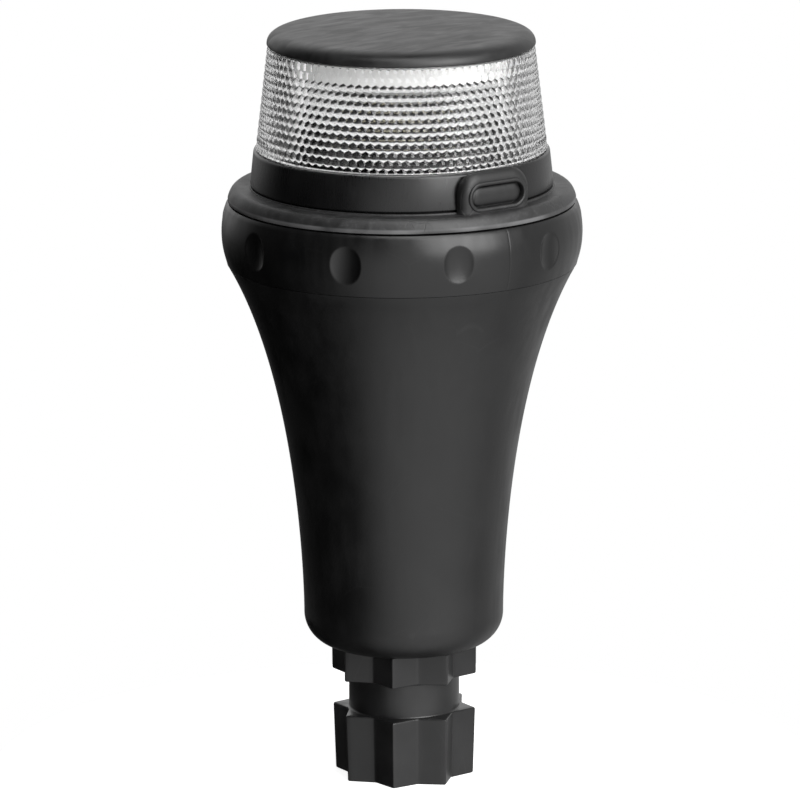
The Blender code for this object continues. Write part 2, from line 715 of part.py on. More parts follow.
def make_flange(parent):
    flange = add_object("rubber_flange", turned("rubber_flange", flange_outline()), parent, BLACK_RUBBER)
    boot = prism("switch_boot", boot_outline(), BOOT_BACK, BOOT_FRONT)
    add_on(flange, "switch_boot", boot, turn=FACING_FRONT)
    bead = prism("switch_bead", stadium(*BEAD), BOOT_FRONT - 0.5, BOOT_FRONT + BEAD_RISE)
    add_on(flange, "switch_bead", bead, (0, 0, BUTTON_HEIGHT), FACING_FRONT)
    hollow = rod("bezel_room", BEZEL_R[0] + GAP, FLANGE_LIP_TOP + 0.2, BOOT_TOP + 1, ROUND)
    cut(flange, "bezel_room_cutter", hollow)
    recess = prism("switch_recess", stadium(*RECESS), BOOT_BACK - 1, BOOT_FRONT + 1)
    cut(flange, "switch_recess_cutter", recess, (0, 0, BUTTON_HEIGHT), FACING_FRONT)
    for i, _, x, y in around(4, DECK_SCREW_CIRCLE, 45):
        hole = rod("flange_hole", DECK_HOLE_R, FLANGE_FOOT - 1, FLANGE_BED + 1, SCREW_ROUND)
        cut(flange, f"flange_hole_cutter_{i}", hole, (x, y, 0))


def make_button(parent):
    """The button's frame stands at its front face, with its own +Z pointing out of the lantern."""
    pill = prism("switch_button", stadium(*BUTTON), -BUTTON_THICK, 0)
    button = add_object("switch_button", pill, parent, BLACK_RUBBER, turn=FACING_FRONT)
    plunger = rod("button_plunger", PLUNGER_R, PLUNGER_TIP - BUTTON_FRONT, -BUTTON_THICK / 2, 12)
    add_on(button, "button_plunger", plunger)


def make_bezel(parent):
    low, high = BEZEL_R
    spigot = low + 0.2 - LIP_THICK - GAP
    outline = [(SPREADER_HOLE_R, BEZEL_FOOT), (spigot, BEZEL_FOOT)]
    outline += [(spigot, BEZEL_SHOULDER), (low, BEZEL_SHOULDER)]
    outline += [(high, BEZEL_TOP - 0.4), (high - 0.4, BEZEL_TOP), (BEZEL_SEAT_R, BEZEL_TOP)]
    outline += [(BEZEL_SEAT_R, BEZEL_SEAT), (BEZEL_BORE_R, BEZEL_SEAT)]
    outline += [(BEZEL_BORE_R, BEZEL_FLOOR_TOP), (SPREADER_HOLE_R, BEZEL_FLOOR_TOP)]
    bezel = add_object("lens_bezel", turned("lens_bezel", outline), parent, BLACK_PLASTIC)
    for i, _, x, y in around(4, DECK_SCREW_CIRCLE, 45):
        boss = rod("bezel_boss", BOSS_R, BEZEL_FLOOR_TOP - 0.5, BOSS_TOP, 12)
        add_on(bezel, f"bezel_boss_{i}", boss, (x, y, 0))
        hole = rod("boss_hole", DECK_HOLE_R, BEZEL_FOOT - 1, DECK_SCREW_TIP + 0.4, SCREW_ROUND)
        cut(bezel, f"boss_hole_cutter_{i}", hole, (x, y, 0))
    hole = rod("plunger_hole", PLUNGER_HOLE_R, BEZEL_BORE_R - 3, BEZEL_R[0] + 1, 12)
    cut(bezel, "plunger_hole_cutter", hole, (0, 0, BUTTON_HEIGHT), FACING_FRONT)
    wire_hole = rod("wire_hole", WIRE_HOLE_R, BEZEL_FOOT - 1, BEZEL_FLOOR_TOP + 1, SCREW_ROUND)
    cut(bezel, "wire_hole_cutter", wire_hole, (0, WIRE_HOLE_BACK, 0))
    seal_r = (BEZEL_BORE_R + 0.2, BEZEL_SEAT_R - GAP)
    seal = ring("lens_seal", seal_r, (0, LENS_FOOT - BEZEL_SEAT - 2 * GAP))
    add_object("lens_seal", seal, parent, BLACK_RUBBER, (0, 0, BEZEL_SEAT + GAP))


def make_lens(parent):
    outline = [(LENS_BORE_R[0], LENS_FOOT), (LENS_SPIGOT_R, LENS_FOOT), (LENS_SPIGOT_R, LENS_STEP)]
    outline += [(LENS_R[0], LENS_STEP), (LENS_R[1], LENS_TOP), (LENS_BORE_R[1], LENS_TOP)]
    outline += [(LENS_BORE_R[0], LENS_STEP + 1)]
    add_object("lens", turned("lens", outline), parent, CLEAR_PLASTIC)


def make_cap(parent):
    inner, outer = CAP_SPIGOT_R
    outline = [(0, CAP_ROOF), (inner, CAP_ROOF)]
    outline += [(inner, CAP_SPIGOT_FOOT), (outer, CAP_SPIGOT_FOOT), (outer, CAP_FOOT)]
    groove_in, groove_out = CAP_GROOVE_R
    outline += [(groove_in, CAP_FOOT), (groove_in, CAP_GROOVE_ROOF)]
    outline += [(groove_out, CAP_GROOVE_ROOF), (groove_out, CAP_FOOT)]
    outline += bezier([(CAP_R, CAP_FOOT), (CAP_R - 1.2, CAP_TOP), (CAP_FLAT_R, CAP_TOP)], 5)
    outline += [(0, CAP_TOP)]
    cap = add_object("top_cap", turned("top_cap", outline), parent, BLACK_PLASTIC)
    for i, angle, _, _ in around(CAP_RIBS, 1):
        low = (3.0, -CAP_RIB_THICK / 2, CAP_SPIGOT_FOOT + 1)
        rib = block("cap_rib", low, (inner + 0.6, CAP_RIB_THICK / 2, CAP_ROOF + 0.5))
        add_on(cap, f"cap_rib_{i}", rib, turn=(0, 0, angle))
    seal_r = (groove_in + GAP, groove_out - GAP)
    seal = ring("cap_seal", seal_r, (0, CAP_GROOVE_ROOF - GAP - CAP_FOOT), ROUND)
    add_object("cap_seal", seal, parent, BLACK_RUBBER, (0, 0, CAP_FOOT))


def make_head_screws(parent):
    length = DECK_SCREW_TIP - DECK_SCREW_HEAD
    for i, _, x, y in around(4, DECK_SCREW_CIRCLE, 45):
        screw = screw_mesh(f"deck_screw_{i}", 1.05, 2.4, 1.7, length)
        place = (x, y, DECK_SCREW_TIP)
        add_object(f"deck_screw_{i}", screw, parent, STEEL, place, (pi, 0, 0))
    length = SPREADER_SCREW_TIP - SPREADER_SCREW_HEAD
    screw = screw_mesh("spreader_screw", 1.15, 2.4, 1.7, length)
    add_object("spreader_screw", screw, parent, STEEL, (0, 0, SPREADER_SCREW_TIP), (pi, 0, 0))


def make_light_engine(parent):
    """LEDs that face up at a shallow white cone, which throws their light out all round."""
    step = SPREADER_FOOT + 1.5
    outline = [(SPREADER_HOLE_R, SPREADER_FOOT), (SPREADER_FLANGE_R, SPREADER_FOOT)]
    outline += [(SPREADER_FLANGE_R, step), (SPREADER_R, step)]
    outline += [(SPREADER_R, SPREADER_TOP), (SPREADER_HOLE_R, SPREADER_TOP)]
    spreader = turned("heat_spreader", outline, INNER_ROUND)
    add_object("heat_spreader", spreader, parent, ALUMINIUM)
    foot = SPREADER_TOP + GAP
    board = rod("led_board", LED_BOARD_R, foot, foot + LED_BOARD_THICK, INNER_ROUND)
    add_object("led_board", board, parent, DARK_CASE)
    width, length, height = LED_SIZE
    seat = foot + LED_BOARD_THICK + GAP
    for i, angle, x, y in around(LEDS, LED_CIRCLE):
        led = block(f"led_{i}", (-width / 2, -length / 2, 0), (width / 2, length / 2, height))
        add_object(f"led_{i}", led, parent, LED_YELLOW, (x, y, seat), (0, 0, angle))
    inner, outer = BAFFLE_R
    outline = [(inner, 0), (outer, 0), (outer, BAFFLE_THICK), (BAFFLE_LIP_R, BAFFLE_THICK)]
    outline += [(BAFFLE_LIP_R, BAFFLE_HEIGHT), (inner, BAFFLE_HEIGHT)]
    baffle = turned("light_baffle", outline, INNER_ROUND)
    add_object("light_baffle", baffle, parent, BLACK_PLASTIC, (0, 0, BEZEL_SEAT))
    top = CAP_SPIGOT_FOOT - GAP
    rim = top - REFLECTOR_EDGE
    skirt = CAP_FOOT - GAP
    outline = [(0, rim - REFLECTOR_DROP), (REFLECTOR_R, rim), (REFLECTOR_R, skirt)]
    outline += [(REFLECTOR_SKIRT_R, skirt), (REFLECTOR_SKIRT_R, top), (0, top)]
    cone = turned("reflector_cone", outline)
    add_object("reflector_cone", cone, parent, WHITE_PLASTIC)


def make_driver(parent):
    rim = FLANGE_BED
    outline = [(HOUSING_HOLE_R, HOUSING_FOOT), (HOUSING_R, HOUSING_FOOT)]
    outline += [(HOUSING_R, COLLAR_TOP + GAP)]
    outline += [(HOUSING_RIM_R, COLLAR_TOP + GAP), (HOUSING_RIM_R, rim), (HOUSING_BORE_R, rim)]
    outline += [(HOUSING_BORE_R, HOUSING_LEDGE), (HOUSING_LEDGE_R, HOUSING_LEDGE)]
    outline += [(HOUSING_LEDGE_R, HOUSING_FLOOR_TOP), (HOUSING_HOLE_R, HOUSING_FLOOR_TOP)]
    add_object("driver_housing", turned("driver_housing", outline, INNER_ROUND), parent, DARK_CASE)
    board = rod("driver_board", DRIVER_BOARD_R, 0, BOARD_THICK, INNER_ROUND)
    board_foot = HOUSING_LEDGE + GAP
    add_object("driver_board", board, parent, BOARD_GREEN, (0, 0, board_foot))
    part_foot = board_foot + BOARD_THICK + GAP
    drum = [(0, 0), (3.8, 0), (3.8, 0.8), (2.6, 1.2), (2.6, 3.4), (3.8, 3.8), (3.8, 4.6), (0, 4.6)]
    coil = turned("driver_coil", drum, 14)
    add_object("driver_coil", coil, parent, DARK_CASE, (6, 4, part_foot))
    can = rod("driver_capacitor", 3.1, 0, 7.2, 14)
    add_object("driver_capacitor", can, parent, ALUMINIUM, (-6, -3, part_foot))
    stud = [(0, 0), (2.4, 0), (2.4, CONTACT_THICK), (1.2, CONTACT_THICK), (1.2, 5.3), (0, 5.3)]
    pin = turned("centre_contact", stud, 16)
    add_object("centre_contact", pin, parent, BRASS, (0, 0, CONTACT_FOOT))
    outer = ring("ring_contact", RING_CONTACT_R, (0, CONTACT_THICK), INNER_ROUND)
    add_object("ring_contact", outer, parent, BRASS, (0, 0, CONTACT_FOOT))


def make_switch(parent):
    tact = add_object("tact_switch", block("tact_switch", *TACT_BODY), parent, DARK_CASE)
    nub = rod("tact_nub", TACT_NUB_R, TACT_NUB_TIP - 2, TACT_NUB_TIP, SCREW_ROUND)
    add_on(tact, "tact_nub", nub, (0, 0, BUTTON_HEIGHT), FACING_FRONT)
    add_object("switch_board", block("switch_board", *SWITCH_BOARD), parent, BOARD_GREEN)


def main():
    clear_scene()
    handle = add_empty("handle_frame")
    carrier = add_empty("carrier_frame", handle, (0, 0, CARRIER_FOOT))
    head = add_empty("head_frame", carrier, (0, 0, -CARRIER_FOOT))
    button = add_empty("button_frame", head, (0, -BUTTON_FRONT, BUTTON_HEIGHT))
    make_plug(handle)
    make_handle(handle)
    make_carrier(carrier)
    make_collar(head)
    make_flange(head)
    make_bezel(head)
    make_lens(head)
    make_cap(head)
    make_head_screws(head)
    make_light_engine(head)
    make_driver(head)
    make_switch(head)
    make_button(button)


main()
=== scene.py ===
"""The looks of a portable all-round marine lantern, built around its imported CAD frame.

Outlines are in millimetres and become metres in the meshes. The lantern stands on its plug at the
origin, +Z runs up its axis, and -Y is the side that carries the switch.
"""

from math import atan2, ceil, cos, exp, hypot, pi, radians, sin, sqrt, tau

import bmesh
import bpy
from mathutils import Matrix, Vector, noise


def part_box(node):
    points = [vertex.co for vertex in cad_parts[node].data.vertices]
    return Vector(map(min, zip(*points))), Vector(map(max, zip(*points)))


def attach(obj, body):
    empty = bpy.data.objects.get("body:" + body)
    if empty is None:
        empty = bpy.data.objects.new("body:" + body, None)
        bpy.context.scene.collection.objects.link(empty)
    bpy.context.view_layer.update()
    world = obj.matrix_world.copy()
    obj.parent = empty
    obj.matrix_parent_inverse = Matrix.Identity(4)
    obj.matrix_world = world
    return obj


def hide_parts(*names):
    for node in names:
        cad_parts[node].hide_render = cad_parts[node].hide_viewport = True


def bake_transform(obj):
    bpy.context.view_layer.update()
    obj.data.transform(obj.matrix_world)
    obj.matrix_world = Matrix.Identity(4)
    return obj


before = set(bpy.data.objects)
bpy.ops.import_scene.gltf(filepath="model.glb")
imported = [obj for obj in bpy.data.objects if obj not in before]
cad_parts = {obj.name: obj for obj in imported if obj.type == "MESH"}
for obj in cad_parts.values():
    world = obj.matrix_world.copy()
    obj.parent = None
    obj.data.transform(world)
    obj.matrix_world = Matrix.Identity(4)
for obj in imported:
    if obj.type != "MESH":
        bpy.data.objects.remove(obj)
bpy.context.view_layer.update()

MM = 0.001
AROUND = 192
SHARP_ANGLE = 32.0
MERGE_DISTANCE = 1e-7
ROUNDED_SHARE = 0.48


def node_levels(name):
    """A turned CAD node's foot, top and widest radius, in millimetres."""
    low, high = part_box(name)
    return low.z / MM, high.z / MM, high.x / MM


PLUG_FOOT, PLUG_TOP, _ = node_levels("mount_plug")
HANDLE_FOOT, NECK_TOP, _ = node_levels("handle_body")
COLLAR_FOOT, COLLAR_TOP, _ = node_levels("grip_collar")
FLANGE_FOOT, BOOT_TOP, FLANGE_R = node_levels("rubber_flange")
BEZEL_FOOT, BEZEL_TOP, BEZEL_R = node_levels("lens_bezel")
LENS_FOOT, LENS_TOP, LENS_R = node_levels("lens")
CAP_LOW, CAP_TOP, CAP_R = node_levels("top_cap")
SEAL_LOW, SEAL_HIGH, SEAL_R = node_levels("neck_o_ring")

# Star-section plug
STAR_POINTS = 8
STAR_VALLEY = 0.785
LOWER_STAR_TOP = PLUG_FOOT + 13.95
UPPER_STAR_FOOT = PLUG_TOP - 6.15
UPPER_STAR_TOP = HANDLE_FOOT - 0.06
LOWER_STAR_R = (14.35, 14.8)
UPPER_STAR_R = (15.0, 15.05)
STAR_EDGE = 0.4
UPPER_STAR_EDGE = 0.08
STAR_TIP_ROUND = 0.32
STAR_VALLEY_ROUND = 0.35
STAR_VALLEY_INSET = 0.55
STAR_LONG_SIDE = 1.5
STAR_SIDE_STEPS = 6
LATCH_NECK_R = 11.3
LATCH_FILLET = 0.4
PLUG_POCKET_R = (3.5, 8.7)
PLUG_POCKET_DEPTH = 10.0
PLUG_WEB = 2.0
PLUG_SCREW_CIRCLE = 6.2
PLUG_PILOT_R = 1.35
PLUG_PILOT_FOOT = PLUG_TOP - 11.0
SEAL_GROOVE_R = (8.0, 10.2)
SEAL_GROOVE_DEPTH = 1.3

# Handle
RIM_TOP = NECK_TOP - 10.5
RIM_R = 35.35
GRIP_R = 20.35
FOOT_CORNER_R = 6.5
FLARE_PULL = HANDLE_FOOT + 53.0
WALL = 2.2
FLOOR_TOP = HANDLE_FOOT + 2.4
FLOOR_HOLE_R = 1.6
BORE_R = 18.4
BORE_CORNER_R = 4.5
BORE_TOP = 44.0
NECK_BORE_R = 27.4
NECK_R = 29.6
LAND_R = 30.8
LAND_TOP = NECK_TOP - 6.5
RING_GROOVE = (SEAL_LOW + 0.1, SEAL_HIGH - 0.1)
RING_GROOVE_R = 29.0
GUIDE_R = 18.2
GUIDE_THICK = 2.0
GUIDE_FOOT = BORE_TOP + 4.0
GUIDE_TOP = 90.0
KEY_R = 16.9
KEY_THICK = 2.4
KEY_FOOT = 35.0

# Screw thread between handle and head
PITCH = 3.0
THREAD_TURNS = 1.4
THREAD_FOOT = LAND_TOP + 1.2
THREAD_HEIGHT = 1.0
THREAD_ROOT_HALF = 0.85
THREAD_CREST_HALF = 0.35
THREAD_BITE = 0.5
THREAD_FADE_STEPS = 12
THREAD_LEAST = 0.02

# Grip collar
COLLAR_R = 36.6
COLLAR_WIDEST = COLLAR_FOOT + 6.7
BULGE_LOW = 0.0256
BULGE_HIGH = 0.039
COLLAR_BORE_R = 31.15
DECK_FOOT = COLLAR_TOP - 1.7
DECK_BORE_R = 17.5
DIMPLES = 10
DIMPLE_MIDDLE = COLLAR_FOOT + 6.0
DIMPLE_HALF_WIDTH = 3.15
DIMPLE_HALF_HEIGHT = 5.1
DIMPLE_DEPTH = 0.85
DIMPLE_EDGE_ROUND = 0.1
DIMPLE_BAND = 4.5
DIMPLE_COLUMNS = radians(6.3)
COLLAR_TOP_EDGE = 0.42
SEAM_LIP = 0.24
SEAM_LIP_ROUND = 0.1
SEAM_DEPTH = 0.035
SEAM_HALF_WIDTH = 0.13
SEAM_SWAY = 0.003
SEAM_SWAY_LENGTH = 2.5
SEAM_COLUMNS = (-0.6, -0.35, -0.2, -0.1, 0, 0.1, 0.2, 0.35, 0.6)
DECK_SCREW_CIRCLE = 23.0
DECK_HOLE_R = 1.5

# Rubber flange with the switch boot
FLANGE_BED = FLANGE_FOOT + 2.0
FLANGE_SHOULDER_R = 33.2
FLANGE_TOP = FLANGE_FOOT + 2.8
FLANGE_LIP_TOP = FLANGE_FOOT + 3.1
FLANGE_BORE_R = 21.0
FLANGE_LIP_R = BEZEL_R + 0.2
FLANGE_RIM_HEIGHT = 0.55
LIP_THICK = 0.95
WAVE_HEIGHT = 0.06
WAVE_CROWDING = 3.1
FOLD_HEIGHT = 0.2
FOLD_MIDDLE = radians(-42)
FOLD_REACH = radians(16)
FOLDS_AROUND = 95
BOOT_FRONT = 32.4
BOOT_BACK = 30.0
BOOT_HALF_WIDTH = 8.35
BOOT_CORNER_R = 4.5
BOOT_FOOT = FLANGE_FOOT + 1.7
BOOT_EDGE = 1.9
BUTTON_HEIGHT = 125.95
RECESS = (12.6, 4.4)
BEAD_HALF = 0.42
BEAD_RISE = 0.36
BEAD_SINK = 0.02
BEAD_ROOT = (0.4, 0.6)
BUTTON = (12.15, 3.95)
BUTTON_FRONT = -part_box("switch_button")[0].y / MM
BUTTON_TIP = -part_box("switch_button")[1].y / MM
BUTTON_THICK = 0.7
BUTTON_ROUND = 0.65
BUTTON_PILLOW = 1.7
PLUNGER_R = 1.5
PLUNGER_HOLE_R = 2.0
MEMBRANE_BEND = ((0.40, 31.35), (0.22, 31.2), (0.0, 31.12), (-0.25, 31.25), (-0.42, 31.95))
MEMBRANE_THICK = 0.16

# Bezel, lens and cap
BEZEL_TOP_R = BEZEL_R - 0.75
BEZEL_FLOOR_TOP = BEZEL_FOOT + 2.0
BEZEL_SHOULDER = FLANGE_LIP_TOP + 0.3
BEZEL_BORE_R = 26.9
BEZEL_SEAT = BEZEL_TOP - 2.3
BEZEL_SEAT_R = 28.4
POST_HOLE_R = 1.5
BOSS_R = 2.5
BOSS_TOP = 127.8
DECK_SCREW_TIP = 127.0
WIRE_HOLE_R = 2.0
WIRE_HOLE_BACK = 12.0
LENS_STEP = BEZEL_TOP + 0.3
LENS_TOP_R = 27.0
LENS_SPIGOT_R = 28.1
LENS_BORE_R = (26.5, 24.5)
LENS_BASE = 0.12
LENS_EDGE = 0.1
CELLS_AROUND = 100
CELL_ROWS = 12.5
CELL_DOME_R = 1.55
CELL_STEPS = 4
CAP_FOOT = LENS_TOP + 0.3
CAP_DOME_R = 23.2
CAP_DOME = 0.45
CAP_DOME_RINGS = (22, 18, 14, 10, 6, 3, 0)
CAP_SIDE_HEIGHT = 0.25
CAP_SHOULDER = (1.6, 0.8, 0.1)
CAP_ROOF = CAP_TOP - 2.45
CAP_SPIGOT_R = (20.4, 22.5)
CAP_GROOVE_R = (24.9, 26.2)
CAP_GROOVE_ROOF = CAP_TOP - 2.35
CAP_RIBS = 6
CAP_RIB_THICK = 1.6


# Outlines


def spread(start, end, steps):
    return [start + (end - start) * i / steps for i in range(steps + 1)]


def arc(centre, radius, start, end, steps):
    """Points on an arc in an outline's plane, from one angle to another in degrees."""
    angles = [radians(degrees) for degrees in spread(start, end, steps)]
    return [(centre[0] + radius * cos(a), centre[1] + radius * sin(a)) for a in angles]


def bezier(points, steps):
    """Points on a Bezier curve of any order, by blending neighbouring control points step by step."""
    curve = []
    for t in spread(0.0, 1.0, steps):
        level = points
        while len(level) > 1:
            pairs = zip(level, level[1:])
            level = [(a[0] + (b[0] - a[0]) * t, a[1] + (b[1] - a[1]) * t) for a, b in pairs]
        curve.append(level[0])
    return curve


def softened(corners, steps=4):
    """An outline whose corners are rounded. Each corner is (x, y) or (x, y, rounding)."""
    outline = []
    for i, corner in enumerate(corners):
        place = Vector(corner[:2])
        rounding = corner[2] if len(corner) > 2 else 0.0
        if not rounding:
            outline.append(tuple(place))
            continue
        before = Vector(corners[i - 1][:2]) - place
        after = Vector(corners[(i + 1) % len(corners)][:2]) - place
        reach = min(rounding, before.length * ROUNDED_SHARE, after.length * ROUNDED_SHARE)
        ends = (place + before.normalized() * reach, place + after.normalized() * reach)
        outline += bezier([tuple(ends[0]), tuple(place), tuple(ends[1])], steps)
    return outline


def stadium(length, height, steps=16):
    """A slot's outline: a straight middle and two half-round ends."""
    reach = (length - height) / 2
    right = arc((reach, 0), height / 2, -90, 90, steps)
    return right + arc((-reach, 0), height / 2, 90, 270, steps)


def rounded_edge(across, along, steps):
    """A quarter turn from a side to an end: (how far in from the side, how far below the end)."""
    return [(across * (1 - cos(a)), along * (1 - sin(a))) for a in spread(0.0, pi / 2, steps)]


def at(outline, height):
    """The (x, y) outline as (x, y, z) points."""
    return [(x, y, height) for x, y in outline]


def around(count, radius, first=0.0):
    """Places on a circle: (angle in radians, x, y)."""
    for i in range(count):
        angle = radians(first) + tau * i / count
        yield angle, radius * cos(angle), radius * sin(angle)


# Meshes


def mesh_from(bm, name, sharp=SHARP_ANGLE):
    """A smooth-shaded mesh, whose edges are sharp above an angle in degrees."""
    bmesh.ops.remove_doubles(bm, verts=bm.verts, dist=MERGE_DISTANCE)
    bmesh.ops.recalc_face_normals(bm, faces=bm.faces)
    mesh = bpy.data.meshes.new(name)
    bm.to_mesh(mesh)
    bm.free()
    mesh.shade_smooth()
    mesh.set_sharp_from_angle(angle=radians(sharp))
    return mesh


def turned(name, outline, angles=None, shape=None):
    """A solid of revolution from (radius, height) points: open where its ends lie on the axis, and
    closed otherwise. shape(radius, height, angle) may move each point to a new radius and height."""
    angles = angles or spread(0.0, tau, AROUND)[:-1]
    bm = bmesh.new()
    columns = []
    poles = {}
    for angle in angles:
        column = []
        for i, (r, z) in enumerate(outline):
            if r == 0:
                if i not in poles:
                    poles[i] = bm.verts.new((0, 0, z * MM))
                column.append(poles[i])
                continue
            if shape:
                r, z = shape(r, z, angle)
            column.append(bm.verts.new((r * cos(angle) * MM, r * sin(angle) * MM, z * MM)))
        columns.append(column)
    on_axis = outline[0][0] == 0 and outline[-1][0] == 0
    count = len(outline)
    for left, right in zip(columns, columns[1:] + columns[:1]):
        for i in range(count - 1 if on_axis else count):
            j = (i + 1) % count
            corners = []
            for vert in (left[i], right[i], right[j], left[j]):
                if vert not in corners:
                    corners.append(vert)
            if len(corners) > 2:
                bm.faces.new(corners)
    return mesh_from(bm, name)


def lofted(name, levels, sharp=SHARP_ANGLE, ring=False):
    """A solid through levels of equally many (x, y, z) points, with flat ends or closed to a ring."""
    bm = bmesh.new()
    rows = [[bm.verts.new(Vector(point) * MM) for point in points] for points in levels]
    for low, high in zip(rows, rows[1:] + rows[:1] if ring else rows[1:]):
        for i in range(len(low)):
            j = (i + 1) % len(low)
            bm.faces.new((low[i], low[j], high[j], high[i]))
    if not ring:
        bm.faces.new(rows[0])
        bm.faces.new(rows[-1])
    return mesh_from(bm, name, sharp)


def prism(name, outline, low, high):
    return lofted(name, [at(outline, low), at(outline, high)])


def rod(name, radius, low, high, segments=32):
    return prism(name, [(x, y) for _, x, y in around(segments, radius)], low, high)


def placed(mesh, x=0.0, y=0.0, z=0.0, angle=0.0):
    """The mesh, turned about +Z and then moved by millimetres."""
    mesh.transform(Matrix.Translation(Vector((x, y, z)) * MM) @ Matrix.Rotation(angle, 4, "Z"))
    return mesh


def facing_front(mesh, height=0.0):
    """The mesh, turned so that its own +Z looks out of the lantern's front, and lifted."""
    mesh.transform(Matrix.Translation((0, 0, height * MM)) @ Matrix.Rotation(pi / 2, 4, "X"))
    return mesh


def add_object(name, mesh):
    obj = bpy.data.objects.new(name, mesh)
    bpy.context.scene.collection.objects.link(obj)
    return obj


def joined(name, meshes):
    """Several separate shells in one mesh, as one cutter or one set of additions."""
    bm = bmesh.new()
    for mesh in meshes:
        bm.from_mesh(mesh)
        bpy.data.meshes.remove(mesh)
    joint = bpy.data.meshes.new(name)
    bm.to_mesh(joint)
    bm.free()
    return joint


def combined(mesh, helpers, operation, sharp=SHARP_ANGLE):
    """The mesh after a Boolean with all the helper meshes at once. All of them are closed."""
    owner = add_object(mesh.name + "_owner", mesh)
    tool = add_object(mesh.name + "_tool", joined(mesh.name + "_tool", helpers))
    modifier = owner.modifiers.new("combine", "BOOLEAN")
    modifier.operation = operation
    modifier.solver = "MANIFOLD"
    modifier.object = tool
    depsgraph = bpy.context.evaluated_depsgraph_get()
    result = bpy.data.meshes.new_from_object(owner.evaluated_get(depsgraph))
    bpy.data.objects.remove(owner)
    bpy.data.objects.remove(tool)
    result.shade_smooth()
    result.set_sharp_from_angle(angle=radians(sharp))
    return result


def four_rods(circle_r, rod_r, low, high):
    """Four rods halfway between the X and Y axes: bosses, or cutters for screw holes."""
    return [placed(rod("rod", rod_r, low, high), x, y) for _, x, y in around(4, circle_r, 45)]


def thread_ridge(root_r, crest_r, foot, steps=96):
    """A helical ridge of trapezium section that fades into its wall at both ends."""
    buried = root_r + THREAD_BITE * (1 if crest_r < root_r else -1)
    count = round(THREAD_TURNS * steps)
    levels = []
    for i in range(count + 1):
        angle = tau * (i + 0.5) / steps
        fade = max(min(1.0, i / THREAD_FADE_STEPS, (count - i) / THREAD_FADE_STEPS), THREAD_LEAST)
        crest = buried + (crest_r - buried) * fade
        middle = foot + PITCH * i / steps
        section = (
            (buried, middle - THREAD_ROOT_HALF),
            (crest, middle - THREAD_CREST_HALF),
            (crest, middle + THREAD_CREST_HALF),
            (buried, middle + THREAD_ROOT_HALF),
        )
        levels.append([(r * cos(angle), r * sin(angle), z) for r, z in section])
    return lofted("thread", levels)


# Star-section plug


def star_outline(tip_r, inset):
    """A star with rounded tips and valleys. Its long sides are split, for the round neck to join."""
    tips = around(STAR_POINTS, tip_r - inset)
    valley_r = tip_r * STAR_VALLEY - inset * STAR_VALLEY_INSET
    valleys = around(STAR_POINTS, valley_r, 180 / STAR_POINTS)
    corners = []
    for (_, *tip), (_, *valley) in zip(tips, valleys):
        corners += [(*tip, STAR_TIP_ROUND), (*valley, STAR_VALLEY_ROUND)]
    rounded = softened(corners)
    outline = []
    for start, end in zip(rounded, rounded[1:] + rounded[:1]):
        length = hypot(end[0] - start[0], end[1] - start[1])
        steps = STAR_SIDE_STEPS if length > STAR_LONG_SIDE else 1
        sides = zip(spread(start[0], end[0], steps), spread(start[1], end[1], steps))
        outline += list(sides)[:-1]
    return outline


def star_levels(foot, top, radii, top_edge=STAR_EDGE, steps=5):
    """One star section with draft and rounded ends."""
    levels = []
    for rise, inset in rounded_edge(STAR_EDGE, STAR_EDGE, steps):
        levels.append(at(star_outline(radii[0], inset), foot + rise))
    for drop, inset in reversed(rounded_edge(top_edge, top_edge, steps)):
        levels.append(at(star_outline(radii[1], inset), top - drop))
    return levels


def neck_levels():
    """The round latch neck between the stars, with small fillets and as many points as a star."""
    profile = []
    for rise, flare in rounded_edge(LATCH_FILLET, LATCH_FILLET, 4):
        profile.append((LATCH_NECK_R + flare, LOWER_STAR_TOP + rise))
    profile += [(r, LOWER_STAR_TOP + UPPER_STAR_FOOT - z) for r, z in reversed(profile)]
    star = star_outline(LOWER_STAR_R[1], STAR_EDGE)
    levels = []
    for radius, z in profile:
        levels.append([(x * radius / hypot(x, y), y * radius / hypot(x, y), z) for x, y in star])
    return levels


def plug_mesh():
    levels = star_levels(PLUG_FOOT, LOWER_STAR_TOP, LOWER_STAR_R)
    levels += neck_levels()
    levels += star_levels(UPPER_STAR_FOOT, UPPER_STAR_TOP, UPPER_STAR_R, UPPER_STAR_EDGE)
    cutters = []
    inner, outer = PLUG_POCKET_R
    half_web = PLUG_WEB / 2
    for i in range(4):
        near, far = [atan2(half_web, r) for r in (inner, outer)]
        corners = [(outer * cos(a), outer * sin(a)) for a in spread(far, pi / 2 - far, 16)]
        corners += [(inner * cos(a), inner * sin(a)) for a in spread(pi / 2 - near, near, 6)]
        pocket = prism("pocket", corners, PLUG_FOOT - 1, PLUG_FOOT + PLUG_POCKET_DEPTH)
        cutters.append(placed(pocket, angle=i * pi / 2))
    low, high = SEAL_GROOVE_R
    foot = PLUG_TOP - SEAL_GROOVE_DEPTH
    groove = [(low, foot), (high, foot), (high, PLUG_TOP + 1), (low, PLUG_TOP + 1)]
    cutters.append(turned("groove", groove))
    cutters += four_rods(PLUG_SCREW_CIRCLE, PLUG_PILOT_R, PLUG_PILOT_FOOT, PLUG_TOP + 1)
    return combined(lofted("mounting_plug", levels), cutters, "DIFFERENCE", 40)


# Handle

# The outer curve from the straight grip to the flared rim, as (radius, height)
FLANK_START = (GRIP_R, HANDLE_FOOT + FOOT_CORNER_R + 0.3)
FLANK = bezier([FLANK_START, FLANK_START, (GRIP_R, FLARE_PULL), (RIM_R, RIM_TOP)], 72)


def handle_radius(height):
    """The handle's outside radius at a height."""
    for (r0, z0), (r1, z1) in zip(FLANK, FLANK[1:]):
        if z0 <= height <= z1:
            return r0 + (r1 - r0) * (height - z0) / (z1 - z0)
    return GRIP_R if height < FLANK[0][1] else RIM_R


